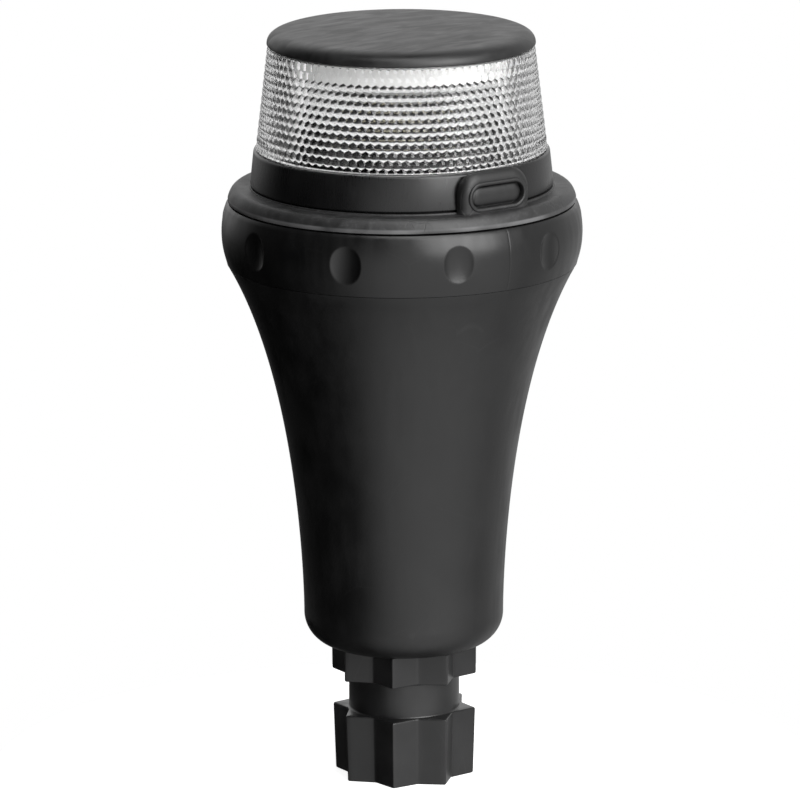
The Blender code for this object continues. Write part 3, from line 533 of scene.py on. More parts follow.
def guide_mesh(inner_r, low, high, thickness, angle):
    """A rib that stands on the inside of the handle's wall and faces the axis."""
    outline = [(inner_r, low)]
    outline += [(handle_radius(z) - WALL / 2, z) for z in spread(low, high, 12)]
    outline.append((inner_r, high))
    levels = [[(r, side, z) for r, z in outline] for side in (-thickness / 2, thickness / 2)]
    return placed(lofted("guide", levels), angle=angle)


def handle_mesh():
    inside = [(r - WALL, z) for r, z in FLANK if BORE_R + 0.2 < r - WALL < NECK_BORE_R]
    outline = [(0, FLOOR_TOP)]
    corner = (BORE_R - BORE_CORNER_R, FLOOR_TOP + BORE_CORNER_R)
    outline += arc(corner, BORE_CORNER_R, -90, 0, 8) + [(BORE_R, BORE_TOP)] + inside
    low, high = RING_GROOVE
    upper = [(RIM_R - 1, RIM_TOP), (LAND_R, RIM_TOP, 0.3), (LAND_R, low, 0.12), (RING_GROOVE_R, low)]
    upper += [(RING_GROOVE_R, high), (LAND_R, high, 0.12), (LAND_R, LAND_TOP, 0.25)]
    upper += [(NECK_R, LAND_TOP), (NECK_R, NECK_TOP, 0.5), (NECK_BORE_R, NECK_TOP, 0.4)]
    upper.append((NECK_BORE_R, inside[-1][1] + 3))
    outline += reversed(softened(upper)[1:])
    rim = softened([(LAND_R + 1, RIM_TOP), (RIM_R, RIM_TOP, 0.1), FLANK[-2]])
    outline += rim[:-1]
    outline += reversed(FLANK[:-2])
    foot = (GRIP_R - FOOT_CORNER_R, HANDLE_FOOT + FOOT_CORNER_R)
    outline += arc(foot, FOOT_CORNER_R, 0, -90, 20) + [(0, HANDLE_FOOT)]
    body = turned("handle_shell", outline)
    angles = [angle for angle, _, _ in around(4, 1, 45)]
    added = [guide_mesh(GUIDE_R, GUIDE_FOOT, GUIDE_TOP, GUIDE_THICK, angle) for angle in angles]
    added.append(guide_mesh(KEY_R, KEY_FOOT, GUIDE_TOP, KEY_THICK, pi / 2))
    added.append(thread_ridge(NECK_R, NECK_R + THREAD_HEIGHT, THREAD_FOOT))
    body = combined(body, added, "UNION")
    holes = four_rods(PLUG_SCREW_CIRCLE, FLOOR_HOLE_R, HANDLE_FOOT - 1, FLOOR_TOP + 1)
    return combined(body, holes, "DIFFERENCE")


def o_ring_mesh():
    cord_r = (SEAL_HIGH - SEAL_LOW) / 2
    centre = (SEAL_R - cord_r, (SEAL_HIGH + SEAL_LOW) / 2)
    return turned("neck_seal_ring", arc(centre, cord_r, 0, 345, 23))


# Grip collar


def collar_radius(height):
    rise = BULGE_HIGH if height > COLLAR_WIDEST else BULGE_LOW
    return COLLAR_R - rise * (height - COLLAR_WIDEST) ** 2


def smooth_min(a, b, blend):
    """The smaller of two numbers, with the crease between them rounded."""
    near = max(blend - abs(a - b), 0) / blend
    return min(a, b) - near * near * blend / 4


def dimple_floor(across, height):
    """The near wall of an ellipsoid that is twice as deep as the dimple, and widened to cut the
    collar's surface at the dimple's own size."""
    widen = 1 / sqrt(0.75)
    along = across / (DIMPLE_HALF_WIDTH * widen)
    up = (height - DIMPLE_MIDDLE) / (DIMPLE_HALF_HEIGHT * widen)
    room = max(1 - along**2 - up**2, 0)
    stand_off = collar_radius(DIMPLE_MIDDLE) + DIMPLE_DEPTH
    return stand_off - 2 * DIMPLE_DEPTH * sqrt(room)


def collar_shape(r, z, angle):
    """Sinks the finger dimples and the mould's parting line into the collar's outside."""
    if r < COLLAR_BORE_R + 2:
        return r, z
    pitch = tau / DIMPLES
    across = ((angle + pi / 2) % pitch - pitch / 2) * r
    depth = r - smooth_min(r, dimple_floor(across, z), DIMPLE_EDGE_ROUND)
    turn = angle + pi / 2 + SEAM_SWAY * noise.noise(Vector((z / SEAM_SWAY_LENGTH, angle, 0.0)))
    seam = min(turn % pi, -turn % pi) * r
    depth += SEAM_DEPTH * exp(-((seam / SEAM_HALF_WIDTH) ** 2))
    return r - depth, z


def collar_angles():
    """Columns that stand close together across each dimple and across both parting lines."""
    pitch = tau / DIMPLES
    angles = []
    for i in range(DIMPLES):
        middle = -pi / 2 + pitch * (i + 0.5)
        end = middle + DIMPLE_COLUMNS
        angles += spread(middle - DIMPLE_COLUMNS, end, 44)
        gap = spread(end, middle + pitch - DIMPLE_COLUMNS, 18)[1:-1]
        if i % 5 == 4:
            line = middle + pitch / 2
            gap = [a for a in gap if abs(a - line) > radians(1.0)]
            gap += [line + radians(step) for step in SEAM_COLUMNS]
        angles += sorted(gap)
    return angles


def collar_mesh():
    low, high = DIMPLE_MIDDLE - DIMPLE_BAND, DIMPLE_MIDDLE + DIMPLE_BAND
    heights = spread(COLLAR_FOOT + 0.5, low - 0.1, 3) + spread(low, high, 46)
    heights += spread(high + 0.1, COLLAR_TOP - 0.55, 4)
    foot_r = collar_radius(COLLAR_FOOT)
    top_r = collar_radius(COLLAR_TOP)
    outline = [(COLLAR_BORE_R + 0.4, COLLAR_FOOT), (foot_r - 1.0, COLLAR_FOOT)]
    lip = (foot_r - SEAM_LIP_ROUND, COLLAR_FOOT - SEAM_LIP + SEAM_LIP_ROUND)
    outline += arc(lip, SEAM_LIP_ROUND, -90, -10, 3)
    outline += [(collar_radius(z), z) for z in heights]
    top_edge = (top_r - COLLAR_TOP_EDGE, COLLAR_TOP - COLLAR_TOP_EDGE)
    outline += arc(top_edge, COLLAR_TOP_EDGE, 30, 90, 4)
    inner = [(DECK_BORE_R, COLLAR_TOP, 0.2), (DECK_BORE_R, DECK_FOOT, 0.2), (COLLAR_BORE_R, DECK_FOOT)]
    inner += [(COLLAR_BORE_R, COLLAR_FOOT + 0.4), (COLLAR_BORE_R + 0.4, COLLAR_FOOT)]
    outline += softened([(33.0, COLLAR_TOP)] + inner)[1:-1]
    body = turned("collar", outline, collar_angles(), collar_shape)
    crest = COLLAR_BORE_R - THREAD_HEIGHT - 0.2
    body = combined(body, [thread_ridge(COLLAR_BORE_R, crest, THREAD_FOOT + PITCH / 2)], "UNION")
    holes = four_rods(DECK_SCREW_CIRCLE, DECK_HOLE_R, DECK_FOOT - 1, COLLAR_TOP + 1)
    return combined(body, holes, "DIFFERENCE")


# Rubber flange, switch boot and button


def boot_outline(inset):
    """The switch boot seen from the front: square at the foot, with round shoulders."""
    side = BOOT_HALF_WIDTH - inset
    corner_r = BOOT_CORNER_R - inset
    shoulder = BOOT_TOP - BOOT_CORNER_R
    inner = BOOT_HALF_WIDTH - BOOT_CORNER_R
    outline = [(-side, BOOT_FOOT), (side, BOOT_FOOT)]
    outline += arc((inner, shoulder), corner_r, 0, 90, 16)
    return outline + arc((-inner, shoulder), corner_r, 90, 180, 16)


def boot_mesh():
    levels = [at(boot_outline(0.0), BOOT_BACK)]
    for inset, drop in rounded_edge(BOOT_EDGE, BOOT_EDGE, 7):
        levels.append(at(boot_outline(inset), BOOT_FRONT - drop))
    return facing_front(lofted("boot", levels))


def swept_round_slot(name, path, section, sharp=SHARP_ANGLE):
    """A ring whose section of (outward offset, depth) points follows a slot's outline."""
    straight = (RECESS[0] - RECESS[1]) / 2
    levels = []
    for x, y in path:
        centre = max(min(x, straight), -straight)
        out = Vector((x - centre, y, 0)).normalized()
        levels.append([(x + out.x * offset, y + out.y * offset, depth) for offset, depth in section])
    return facing_front(lofted(name, levels, sharp, ring=True), BUTTON_HEIGHT)


def bead_mesh():
    """The raised bead round the recess: half round, with a root inside the boot."""
    section = []
    for swing in spread(0.0, pi, 10):
        section.append((BEAD_HALF * cos(swing), BOOT_FRONT + BEAD_RISE * sin(swing) - BEAD_SINK))
    half, deep = BEAD_ROOT
    section += [(-half, BOOT_FRONT - deep), (half, BOOT_FRONT - deep)]
    path = stadium(RECESS[0] + 2 * BEAD_HALF, RECESS[1] + 2 * BEAD_HALF)
    return swept_round_slot("bead", path, section)


def flange_shape(r, z, angle):
    """Loose rubber: faint waves all round, and small folds beside the boot on its right."""
    if z < FLANGE_FOOT + 0.5 or r < FLANGE_LIP_R - 0.4:
        return r, z
    place = Vector((WAVE_CROWDING * cos(angle), WAVE_CROWDING * sin(angle), 0.4))
    wave = WAVE_HEIGHT * noise.noise(place)
    away = (angle - FOLD_MIDDLE) / FOLD_REACH
    folds = exp(-(away**2)) * sin(angle * FOLDS_AROUND) * FOLD_HEIGHT
    ease = min((FLANGE_R - r) / 1.2, (r - FLANGE_LIP_R + 0.5) / 1.0, 1.0)
    return r, z + (wave + folds) * max(ease, 0.0)


def flange_mesh():
    bed_r = FLANGE_LIP_R - LIP_THICK
    rim = FLANGE_FOOT + FLANGE_RIM_HEIGHT
    outline = arc((FLANGE_R - 0.12, FLANGE_FOOT + 0.12), 0.12, -90, 0, 3)
    side = [(FLANGE_R, rim), (FLANGE_R - 0.6, FLANGE_TOP), (FLANGE_SHOULDER_R, FLANGE_TOP)]
    outline += bezier(side, 14)
    outline += [(r, FLANGE_TOP) for r in spread(FLANGE_SHOULDER_R, FLANGE_LIP_R + 0.5, 5)[1:]]
    lip = [(FLANGE_LIP_R + 0.4, FLANGE_TOP), (FLANGE_LIP_R, FLANGE_TOP, 0.12)]
    lip += [(FLANGE_LIP_R, FLANGE_LIP_TOP, 0.14), (bed_r, FLANGE_LIP_TOP, 0.2), (bed_r, FLANGE_BED)]
    lip += [(FLANGE_BORE_R, FLANGE_BED, 0.3), (FLANGE_BORE_R, FLANGE_FOOT, 0.3)]
    outline += softened(lip)[1:]
    body = turned("flange", outline, spread(0.0, tau, 360)[:-1], flange_shape)
    body = combined(body, [boot_mesh()], "UNION")
    body = combined(body, [bead_mesh()], "UNION")
    room = rod("room", BEZEL_R + 0.3, FLANGE_LIP_TOP + 0.2, BOOT_TOP + 1, 256)
    recess_size = (RECESS[0] + 0.06, RECESS[1] + 0.06)
    recess = prism("recess", stadium(*recess_size), BOOT_BACK - 1, BOOT_FRONT + 1)
    cutters = [facing_front(recess, BUTTON_HEIGHT)]
    cutters += four_rods(DECK_SCREW_CIRCLE, DECK_HOLE_R, FLANGE_FOOT - 1, FLANGE_BED + 1)
    body = combined(body, [room], "DIFFERENCE")
    return combined(body, cutters, "DIFFERENCE")


def button_mesh():
    """A slot-shaped pill with a round back to press, and the plunger on its inner side."""
    levels = []
    plunger = stadium(2 * PLUNGER_R + 0.001, 2 * PLUNGER_R)
    back = BUTTON_FRONT - BUTTON_THICK
    for depth, inset in ((BUTTON_TIP, 0.2), (BUTTON_TIP + 0.2, 0.0), (back, 0.0)):
        scale = (PLUNGER_R - inset) / PLUNGER_R
        levels.append([(x * scale, y * scale, depth) for x, y in plunger])
    length, height = BUTTON
    for inset, drop in rounded_edge(BUTTON_PILLOW, BUTTON_ROUND, 10):
        outline = stadium(length - 2 * inset, height - 2 * inset)
        levels.append(at(outline, BUTTON_FRONT - drop))
    return facing_front(lofted("button", levels, 50), BUTTON_HEIGHT)


def membrane_mesh():
    """The thin rubber skin between the button's flank and the wall of its recess."""
    section = list(MEMBRANE_BEND)
    section += [(offset, depth - MEMBRANE_THICK) for offset, depth in reversed(MEMBRANE_BEND)]
    middle = stadium(*[(a + b) / 2 for a, b in zip(RECESS, BUTTON)])
    return swept_round_slot("membrane", middle, section, 60)


# Bezel, lens and cap


def bezel_mesh():
    spigot = FLANGE_LIP_R - LIP_THICK - 0.3
    corners = [(POST_HOLE_R, BEZEL_FOOT), (spigot, BEZEL_FOOT, 0.2), (spigot, BEZEL_SHOULDER, 0.15)]
    corners += [(BEZEL_R, BEZEL_SHOULDER, 0.3), (BEZEL_TOP_R, BEZEL_TOP, 0.55)]
    corners += [(BEZEL_SEAT_R, BEZEL_TOP, 0.15), (BEZEL_SEAT_R, BEZEL_SEAT)]
    corners += [(BEZEL_BORE_R, BEZEL_SEAT, 0.2), (BEZEL_BORE_R, BEZEL_FLOOR_TOP, 0.4)]
    corners.append((POST_HOLE_R, BEZEL_FLOOR_TOP))
    body = turned("bezel", softened(corners))
    bosses = four_rods(DECK_SCREW_CIRCLE, BOSS_R, BEZEL_FLOOR_TOP - 0.5, BOSS_TOP)
    body = combined(body, bosses, "UNION")
    cutters = four_rods(DECK_SCREW_CIRCLE, DECK_HOLE_R, BEZEL_FOOT - 1, DECK_SCREW_TIP + 0.4)
    plunger_hole = rod("plunger_hole", PLUNGER_HOLE_R, BEZEL_BORE_R - 3, BEZEL_R + 1)
    cutters.append(facing_front(plunger_hole, BUTTON_HEIGHT))
    wire_hole = rod("wire_hole", WIRE_HOLE_R, BEZEL_FOOT - 1, BEZEL_FLOOR_TOP + 1)
    cutters.append(placed(wire_hole, 0, WIRE_HOLE_BACK))
    return combined(body, cutters, "DIFFERENCE")


def lens_radius(z):
    return LENS_R + (LENS_TOP_R - LENS_R) * (z - LENS_STEP) / (LENS_TOP - LENS_STEP)


def cell_corners(width, pitch):
    """The corners of one cell of a staggered grid: the points nearer to its middle than to any other."""
    dip = width**2 / (8 * pitch)
    apex, side = pitch / 2 + dip, pitch / 2 - dip
    half = width / 2
    return [(0, apex), (-half, side), (-half, -side), (0, -apex), (half, -side), (half, side)]


def lens_mesh():
    """A clear band whose outside is a staggered grid of small domes that meet in sharp valleys."""
    low, high = LENS_STEP + LENS_BASE, LENS_TOP - LENS_EDGE
    pitch = (high - low) / CELL_ROWS
    angle_step = tau / CELLS_AROUND
    middle_width = angle_step * lens_radius((low + high) / 2)
    corners = cell_corners(middle_width, pitch)
    bm = bmesh.new()
    known = {}

    def vertex(angle, z, off_x, off_z):
        key = (round(angle % tau * 1e5) % round(tau * 1e5), round(z * 1e4))
        if key not in known:
            sink = CELL_DOME_R - sqrt(CELL_DOME_R**2 - off_x**2 - off_z**2)
            r = lens_radius(z) - sink
            known[key] = bm.verts.new((r * cos(angle) * MM, r * sin(angle) * MM, z * MM))
        return known[key]

    for row in range(ceil(CELL_ROWS) + 1):
        middle_z = low + pitch * row
        for column in range(CELLS_AROUND):
            middle = (column + 0.5 * (row % 2)) * angle_step
            for first, second in zip(corners, corners[1:] + corners[:1]):
                grid = {}
                for i in range(CELL_STEPS + 1):
                    for j in range(CELL_STEPS + 1 - i):
                        off_x = (first[0] * i + second[0] * j) / CELL_STEPS
                        off_z = (first[1] * i + second[1] * j) / CELL_STEPS
                        angle = middle + off_x / middle_width * angle_step
                        grid[i, j] = vertex(angle, middle_z + off_z, off_x, off_z)
                for i in range(CELL_STEPS):
                    for j in range(CELL_STEPS - i):
                        bm.faces.new((grid[i, j], grid[i + 1, j], grid[i, j + 1]))
                        if i + j < CELL_STEPS - 1:
                            bm.faces.new((grid[i + 1, j], grid[i + 1, j + 1], grid[i, j + 1]))
    for height, side in ((high, 1), (low, -1)):
        everything = bm.verts[:] + bm.edges[:] + bm.faces[:]
        plane = {"plane_co": (0, 0, height * MM), "plane_no": (0, 0, side)}
        bmesh.ops.bisect_plane(bm, geom=everything, dist=MERGE_DISTANCE, clear_outer=True, **plane)
    rims = [e for e in bm.edges if e.is_boundary]
    halfway = (low + high) / 2 * MM
    top_rim = [e for e in rims if e.verts[0].co.z > halfway]
    bottom_rim = [e for e in rims if e.verts[0].co.z < halfway]
    inner_low, inner_high = LENS_BORE_R
    over = [(LENS_TOP_R - 0.28, high + 0.02), (LENS_TOP_R - 0.4, LENS_TOP), (inner_high + 0.2, LENS_TOP)]
    over += [(inner_high, LENS_TOP - 0.2), (inner_low, LENS_STEP + 1), (inner_low, LENS_FOOT)]
    under = [(LENS_R, low - 0.05), (LENS_R, LENS_STEP + 0.08), (LENS_R - 0.1, LENS_STEP)]
    under += [(LENS_SPIGOT_R, LENS_STEP), (LENS_SPIGOT_R, LENS_FOOT)]
    top_rim = drawn_on(bm, top_rim, over)
    bottom_rim = drawn_on(bm, bottom_rim, under)
    bmesh.ops.bridge_loops(bm, edges=top_rim + bottom_rim)
    return mesh_from(bm, "lens_band", 24)


def drawn_on(bm, rim, outline):
    """Extends an open rim through (radius, height) points, and returns its new edges."""
    for r, z in outline:
        grown = bmesh.ops.extrude_edge_only(bm, edges=rim)["geom"]
        rim = [g for g in grown if isinstance(g, bmesh.types.BMEdge)]
        for vert in {v for edge in rim for v in edge.verts}:
            angle = atan2(vert.co.y, vert.co.x)
            vert.co = Vector((r * cos(angle), r * sin(angle), z)) * MM
    return rim


def cap_mesh():
    """The cap: a round shoulder, a slightly domed top, and a ribbed spigot down into the lens."""
    inner, outer = CAP_SPIGOT_R
    groove_in, groove_out = CAP_GROOVE_R
    corners = [(0.01, CAP_ROOF), (inner, CAP_ROOF, 0.4), (inner, CAP_LOW, 0.2), (outer, CAP_LOW, 0.2)]
    corners += [(outer, CAP_FOOT), (groove_in, CAP_FOOT), (groove_in, CAP_GROOVE_ROOF)]
    corners += [(groove_out, CAP_GROOVE_ROOF), (groove_out, CAP_FOOT), (CAP_R - 0.3, CAP_FOOT)]
    outline = [(0, CAP_ROOF)] + softened(corners)[1:]
    edge = CAP_TOP - CAP_DOME
    inwards, side_drop, top_drop = CAP_SHOULDER
    shoulder = [(CAP_R, CAP_FOOT + CAP_SIDE_HEIGHT), (CAP_R, edge - side_drop)]
    shoulder += [(CAP_R - inwards, edge - top_drop), (CAP_DOME_R, edge)]
    outline += bezier(shoulder, 28)
    outline += [(r, CAP_TOP - CAP_DOME * (r / CAP_DOME_R) ** 2) for r in CAP_DOME_RINGS]
    body = turned("cap", outline)
    start, end, half = 3.0, inner + 0.6, CAP_RIB_THICK / 2
    section = [(start, -half), (end, -half), (end, half), (start, half)]
    ribs = [
        placed(prism("rib", section, CAP_LOW + 1, CAP_ROOF + 0.5), angle=angle)
        for angle, _, _ in around(CAP_RIBS, 1)
    ]
    return combined(body, ribs, "UNION")


# Materials

LENS_FROST = 0.17
LENS_FROST_FADE = 0.08
# How far in from the flange's edge the painted rim highlight starts and reaches full strength, in
# millimetres
PAINTED_RIM_HIGHLIGHT = (0.12, 0.04)
DARKER_TONE_RISE = (0.1, 1.0)
DARKER_TONE_SHARE = 0.85


def preset(node, sockets):
    for name, value in sockets.items():
        node.inputs[name.replace("_", " ")].default_value = value


class Graph:
    """A node tree, with short ways to add its nodes and link them."""

    def __init__(self, tree):
        self.tree = tree

    def node(self, kind, operation=None, **inputs):
        made = self.tree.nodes.new(kind)
        if operation:
            made.operation = operation
        preset(made, inputs)
        return made

    def link(self, source, target):
        self.tree.links.new(source, target)

    def paired(self, operation, first, second):
        made = self.node("ShaderNodeMath", operation)
        self.link(first, made.inputs[0])
        self.link(second, made.inputs[1])
        return made.outputs["Value"]

    def product(self, first, second):
        return self.paired("MULTIPLY", first, second)

    def ranged(self, field, start, end, low=0.0, high=1.0, curve="LINEAR"):
        """The field, held between two values and carried over to a new range."""
        made = self.node("ShaderNodeMapRange", From_Min=start, From_Max=end, To_Min=low, To_Max=high)
        made.interpolation_type = curve
        self.link(field, made.inputs["Value"])
        return made.outputs["Result"]


class Look(Graph):
    """A Principled material whose colour, roughness and relief come from procedural fields."""

    def __init__(self, name):
        self.material = bpy.data.materials.new(name)
        self.material.use_nodes = True
        super().__init__(self.material.node_tree)
        self.shader = self.tree.nodes["Principled BSDF"]
        self.place = self.node("ShaderNodeTexCoord").outputs["Object"]
        self.relief = None

    def stretched(self, scale):
        """The object's coordinates, scaled apart along X, Y and Z."""
        mapping = self.node("ShaderNodeMapping", Scale=scale)
        self.link(self.place, mapping.inputs["Vector"])
        return mapping.outputs["Vector"]

    def grain(self, size, detail=3.0, stretch=(1, 1, 1), twist=0.0):
        """A noise field from 0 to 1 whose features are about that many millimetres across."""
        made = self.node("ShaderNodeTexNoise", Scale=1 / (size * MM), Detail=detail, Distortion=twist)
        self.link(self.stretched(stretch), made.inputs["Vector"])
        return made.outputs["Fac"]

    def cracks(self, size, width, stretch=(1, 1, 1)):
        """Thin lines between irregular cells: 1 on a line and 0 away from it."""
        made = self.node("ShaderNodeTexVoronoi", Scale=1 / (size * MM))
        made.feature = "DISTANCE_TO_EDGE"
        self.link(self.stretched(stretch), made.inputs["Vector"])
        return self.ranged(made.outputs["Distance"], 0.0, width, 1.0, 0.0)

    def distance(self, axes):
        """How far a point lies from the origin, counting only the axes that are 1 and not 0."""
        made = self.node("ShaderNodeVectorMath", "LENGTH")
        self.link(self.stretched(axes), made.inputs[0])
        return made.outputs["Value"]

    def mixed(self, field, first, second):
        """A colour between two colours, or between another mix and a colour."""
        made = self.node("ShaderNodeMix")
        made.data_type = "RGBA"
        self.link(field, made.inputs["Factor"])
        for name, colour in (("A", first), ("B", second)):
            socket = [s for s in made.inputs if s.name == name and s.type == "RGBA"][0]
            if isinstance(colour, tuple):
                socket.default_value = (*colour, 1.0)
            else:
                self.link(colour, socket)
        return [s for s in made.outputs if s.type == "RGBA"][0]

    def coloured(self, field, first, second):
        self.link(self.mixed(field, first, second), self.shader.inputs["Base Color"])

    def rough(self, field, low, high, start=0.3, end=0.7):
        self.link(self.ranged(field, start, end, low, high), self.shader.inputs["Roughness"])

    def bumped(self, field, depth, strength=1.0):
        """Adds relief of that many millimetres on top of any relief already there."""
        made = self.node("ShaderNodeBump", Strength=strength, Distance=depth * MM)
        self.link(field, made.inputs["Height"])
        if self.relief:
            self.link(self.relief, made.inputs["Normal"])
        self.relief = made.outputs["Normal"]
        self.link(self.relief, self.shader.inputs["Normal"])

    def fixed(self, **sockets):
        preset(self.shader, sockets)


def moulded_plastic(name, dark, light, roughness, grain_depth, waviness=1.0):
    """Satin black moulding: fine spark-eroded grain, slow sink waves, faint flow and rub marks."""
    look = Look(name)
    cloud = look.grain(9.0, 4.0)
    flow = look.grain(2.2, 3.0, (1, 1, 0.12))
    rubs = look.cracks(7.0, 0.012, (1, 1, 0.35))
    tone = look.mixed(look.ranged(cloud, 0.35, 0.65), dark, light)
    worn = tuple(c * 1.9 + 0.004 for c in light)
    faint = look.ranged(look.product(rubs, look.grain(16.0, 2.0)), 0.3, 0.75, 0.0, 0.5)
    look.coloured(faint, tone, worn)
    look.rough(look.product(flow, cloud), roughness - 0.05, roughness + 0.06, 0.15, 0.35)
    look.bumped(look.grain(14.0, 2.0), 0.05, 0.5 * waviness)
    look.bumped(look.grain(0.22, 2.0), grain_depth)
    return look.material


def bezel_plastic():
    """Satin black ring with the fine upright lines of a turned and polished mould."""
    look = Look("bezel_satin")
    lines = look.grain(0.3, 2.0, (1, 1, 0.02))
    cloud = look.grain(6.0, 3.0)
    look.coloured(cloud, (0.004, 0.004, 0.0042), (0.008, 0.008, 0.0082))
    look.rough(look.product(lines, cloud), 0.24, 0.36, 0.1, 0.4)
    look.bumped(lines, 0.006)
    look.bumped(look.grain(11.0, 2.0), 0.04, 0.5)
    return look.material


def cap_plastic():
    """Fine-textured cap with blotches and short streaks from handling."""
    look = Look("cap_texture")
    blotch = look.grain(2.6, 6.0, (0.35, 1, 1), 0.6)
    speck = look.grain(0.6, 3.0)
    look.coloured(look.ranged(blotch, 0.35, 0.68), (0.005, 0.005, 0.0051), (0.012, 0.012, 0.0122))
    look.rough(blotch, 0.36, 0.52)
    look.bumped(blotch, 0.035)
    look.bumped(speck, 0.012)
    return look.material


def flange_rubber():
    """Soft greyish rubber: dusty mottling, tiny creases, and a painted highlight in patches along the
    rim's outer edge.
    Above the flange's lip, the boot and the button are a darker tone."""
    look = Look("flange_rubber_skin")
    mottle = look.grain(3.4, 5.0, twist=0.8)
    dust = look.grain(0.5, 4.0)
    creases = look.cracks(3.2, 0.02, (1, 1, 0.6))
    blotch = look.ranged(mottle, 0.35, 0.7)
    tone = look.mixed(blotch, (0.014, 0.014, 0.0142), (0.026, 0.026, 0.0265))
    powder = look.ranged(look.product(dust, mottle), 0.28, 0.45, 0.0, 0.6)
    skin = look.mixed(powder, tone, (0.05, 0.05, 0.051))
    # The pale band at the rim's outer edge, in patches, is a painted highlight: the glint of the rim's
    # edge put into the colour
    rim = [(FLANGE_R - inwards) * MM for inwards in PAINTED_RIM_HIGHLIGHT]
    rim_highlight = look.ranged(look.distance((1, 1, 0)), *rim)
    patches = look.ranged(look.grain(12.0, 3.0), 0.35, 0.6, 0.2, 1.0)
    dust_and_rim_highlight = look.mixed(look.product(rim_highlight, patches), skin, (0.11, 0.11, 0.112))
    # A darker tone from just above the lip's top upward, over the boot and the button
    above = [(FLANGE_LIP_TOP + rise) * MM for rise in DARKER_TONE_RISE]
    darker_above_lip = look.ranged(look.distance((0, 0, 1)), *above, 0.0, DARKER_TONE_SHARE)
    look.coloured(darker_above_lip, dust_and_rim_highlight, (0.005, 0.005, 0.0051))
    look.rough(mottle, 0.42, 0.55)
    where = look.ranged(look.grain(11.0, 1.0), 0.5, 0.7)
    look.bumped(look.product(creases, where), -0.05)
    look.bumped(mottle, 0.03)
    look.bumped(look.grain(0.18, 2.0), 0.008)
    return look.material


def seal_rubber():
    look = Look("seal_rubber")
    field = look.grain(0.7, 4.0)
    look.coloured(field, (0.01, 0.01, 0.01), (0.03, 0.03, 0.03))
    look.rough(field, 0.5, 0.68)
    look.bumped(field, 0.01)
    return look.material


def clear_plastic():
    """Water-clear moulding with a lightly frosted bore and a trace of haze in its colour."""
    look = Look("clear_moulding")
    haze = look.grain(8.0, 3.0)
    look.coloured(haze, (0.985, 0.985, 0.985), (1.0, 1.0, 1.0))
    bore = LENS_BORE_R[0]
    look.rough(look.distance((1, 1, 0)), LENS_FROST, 0.0, bore * MM, (bore + LENS_FROST_FADE) * MM)
    look.fixed(IOR=1.49, Transmission_Weight=1.0)
    return look.material


def plain_moulding(name, first, second, roughness):
    """Inner mouldings and boards: mottled colour with a light grain."""
    look = Look(name)
    field = look.grain(1.8, 5.0)
    look.coloured(look.ranged(field, 0.35, 0.65), first, second)
    look.rough(field, roughness - 0.06, roughness + 0.08)
    look.bumped(look.grain(0.25, 3.0), 0.01)
    return look.material


def metal(name, first, second, roughness):
    """Drawn or turned metal, with fine upright lines and a patchy tarnish."""
    look = Look(name)
    lines = look.grain(0.25, 3.0, (1, 1, 0.05))
    patches = look.grain(4.0, 4.0)
    look.coloured(look.ranged(patches, 0.35, 0.7), first, second)
    look.rough(look.product(lines, patches), roughness - 0.08, roughness + 0.14, 0.1, 0.4)
    look.bumped(lines, 0.006)
    look.fixed(Metallic=1.0)
    return look.material


def flocked_black():
    """Dead matt black that keeps stray light down inside the lens."""
    look = Look("flocked_black")
    fibres = look.grain(0.3, 3.0)
    look.coloured(fibres, (0.002, 0.002, 0.002), (0.006, 0.006, 0.006))
    look.rough(fibres, 0.9, 1.0)
    look.bumped(fibres, 0.02)
    look.fixed(Specular_IOR_Level=0.03)
    return look.material


LOOKS = {
    "handle_plastic": moulded_plastic(
        "handle_satin", (0.0035, 0.0035, 0.0036), (0.0055, 0.0055, 0.0056), 0.4, 0.012
    ),
    "collar_plastic": moulded_plastic(
        "collar_satin", (0.003, 0.003, 0.0031), (0.0045, 0.0045, 0.0046), 0.34, 0.005, 0.7
    ),
    "bezel_plastic": bezel_plastic(),
    "cap_plastic": cap_plastic(),
    "flange_rubber": flange_rubber(),
    "black_rubber": seal_rubber(),
    "clear_lens": clear_plastic(),
    "white_plastic": plain_moulding("white_reflector", (0.87, 0.87, 0.86), (0.93, 0.93, 0.92), 0.35),
    "carrier_plastic": plain_moulding("carrier_black", (0.03, 0.03, 0.032), (0.05, 0.05, 0.052), 0.5),
    "cell_can": metal("cell_sleeve", (0.16, 0.17, 0.18), (0.24, 0.25, 0.26), 0.35),
    "steel": metal("plated_steel", (0.55, 0.55, 0.54), (0.68, 0.68, 0.66), 0.32),
    "spring_steel": metal("spring_wire", (0.6, 0.6, 0.59), (0.75, 0.75, 0.74), 0.25),
    "brass": metal("bright_brass", (0.66, 0.47, 0.2), (0.78, 0.6, 0.3), 0.3),
    "post_aluminium": metal("satin_aluminium", (0.68, 0.69, 0.7), (0.8, 0.81, 0.82), 0.34),
    "led_phosphor": plain_moulding("led_yellow", (0.72, 0.66, 0.42), (0.8, 0.75, 0.52), 0.3),
    "board_green": plain_moulding("solder_mask", (0.03, 0.14, 0.08), (0.05, 0.2, 0.12), 0.4),
    "dark_component": plain_moulding("component_black", (0.04, 0.04, 0.044), (0.06, 0.06, 0.064), 0.5),
    "capacitor_can": metal("capacitor_can", (0.62, 0.63, 0.64), (0.76, 0.77, 0.78), 0.3),
}
# The plug's plastic is about twice as light as the handle's: painted light, standing in for the light
# the pale floor throws onto the plug's faces
PLUG_LOOK_PAINTED_LIGHTER = moulded_plastic("plug_satin_painted_lighter", (0.007, 0.007, 0.0072), (0.012, 0.012, 0.0122), 0.33, 0.006)
NODE_LOOKS = {"light_baffle": flocked_black()}


# The assembly


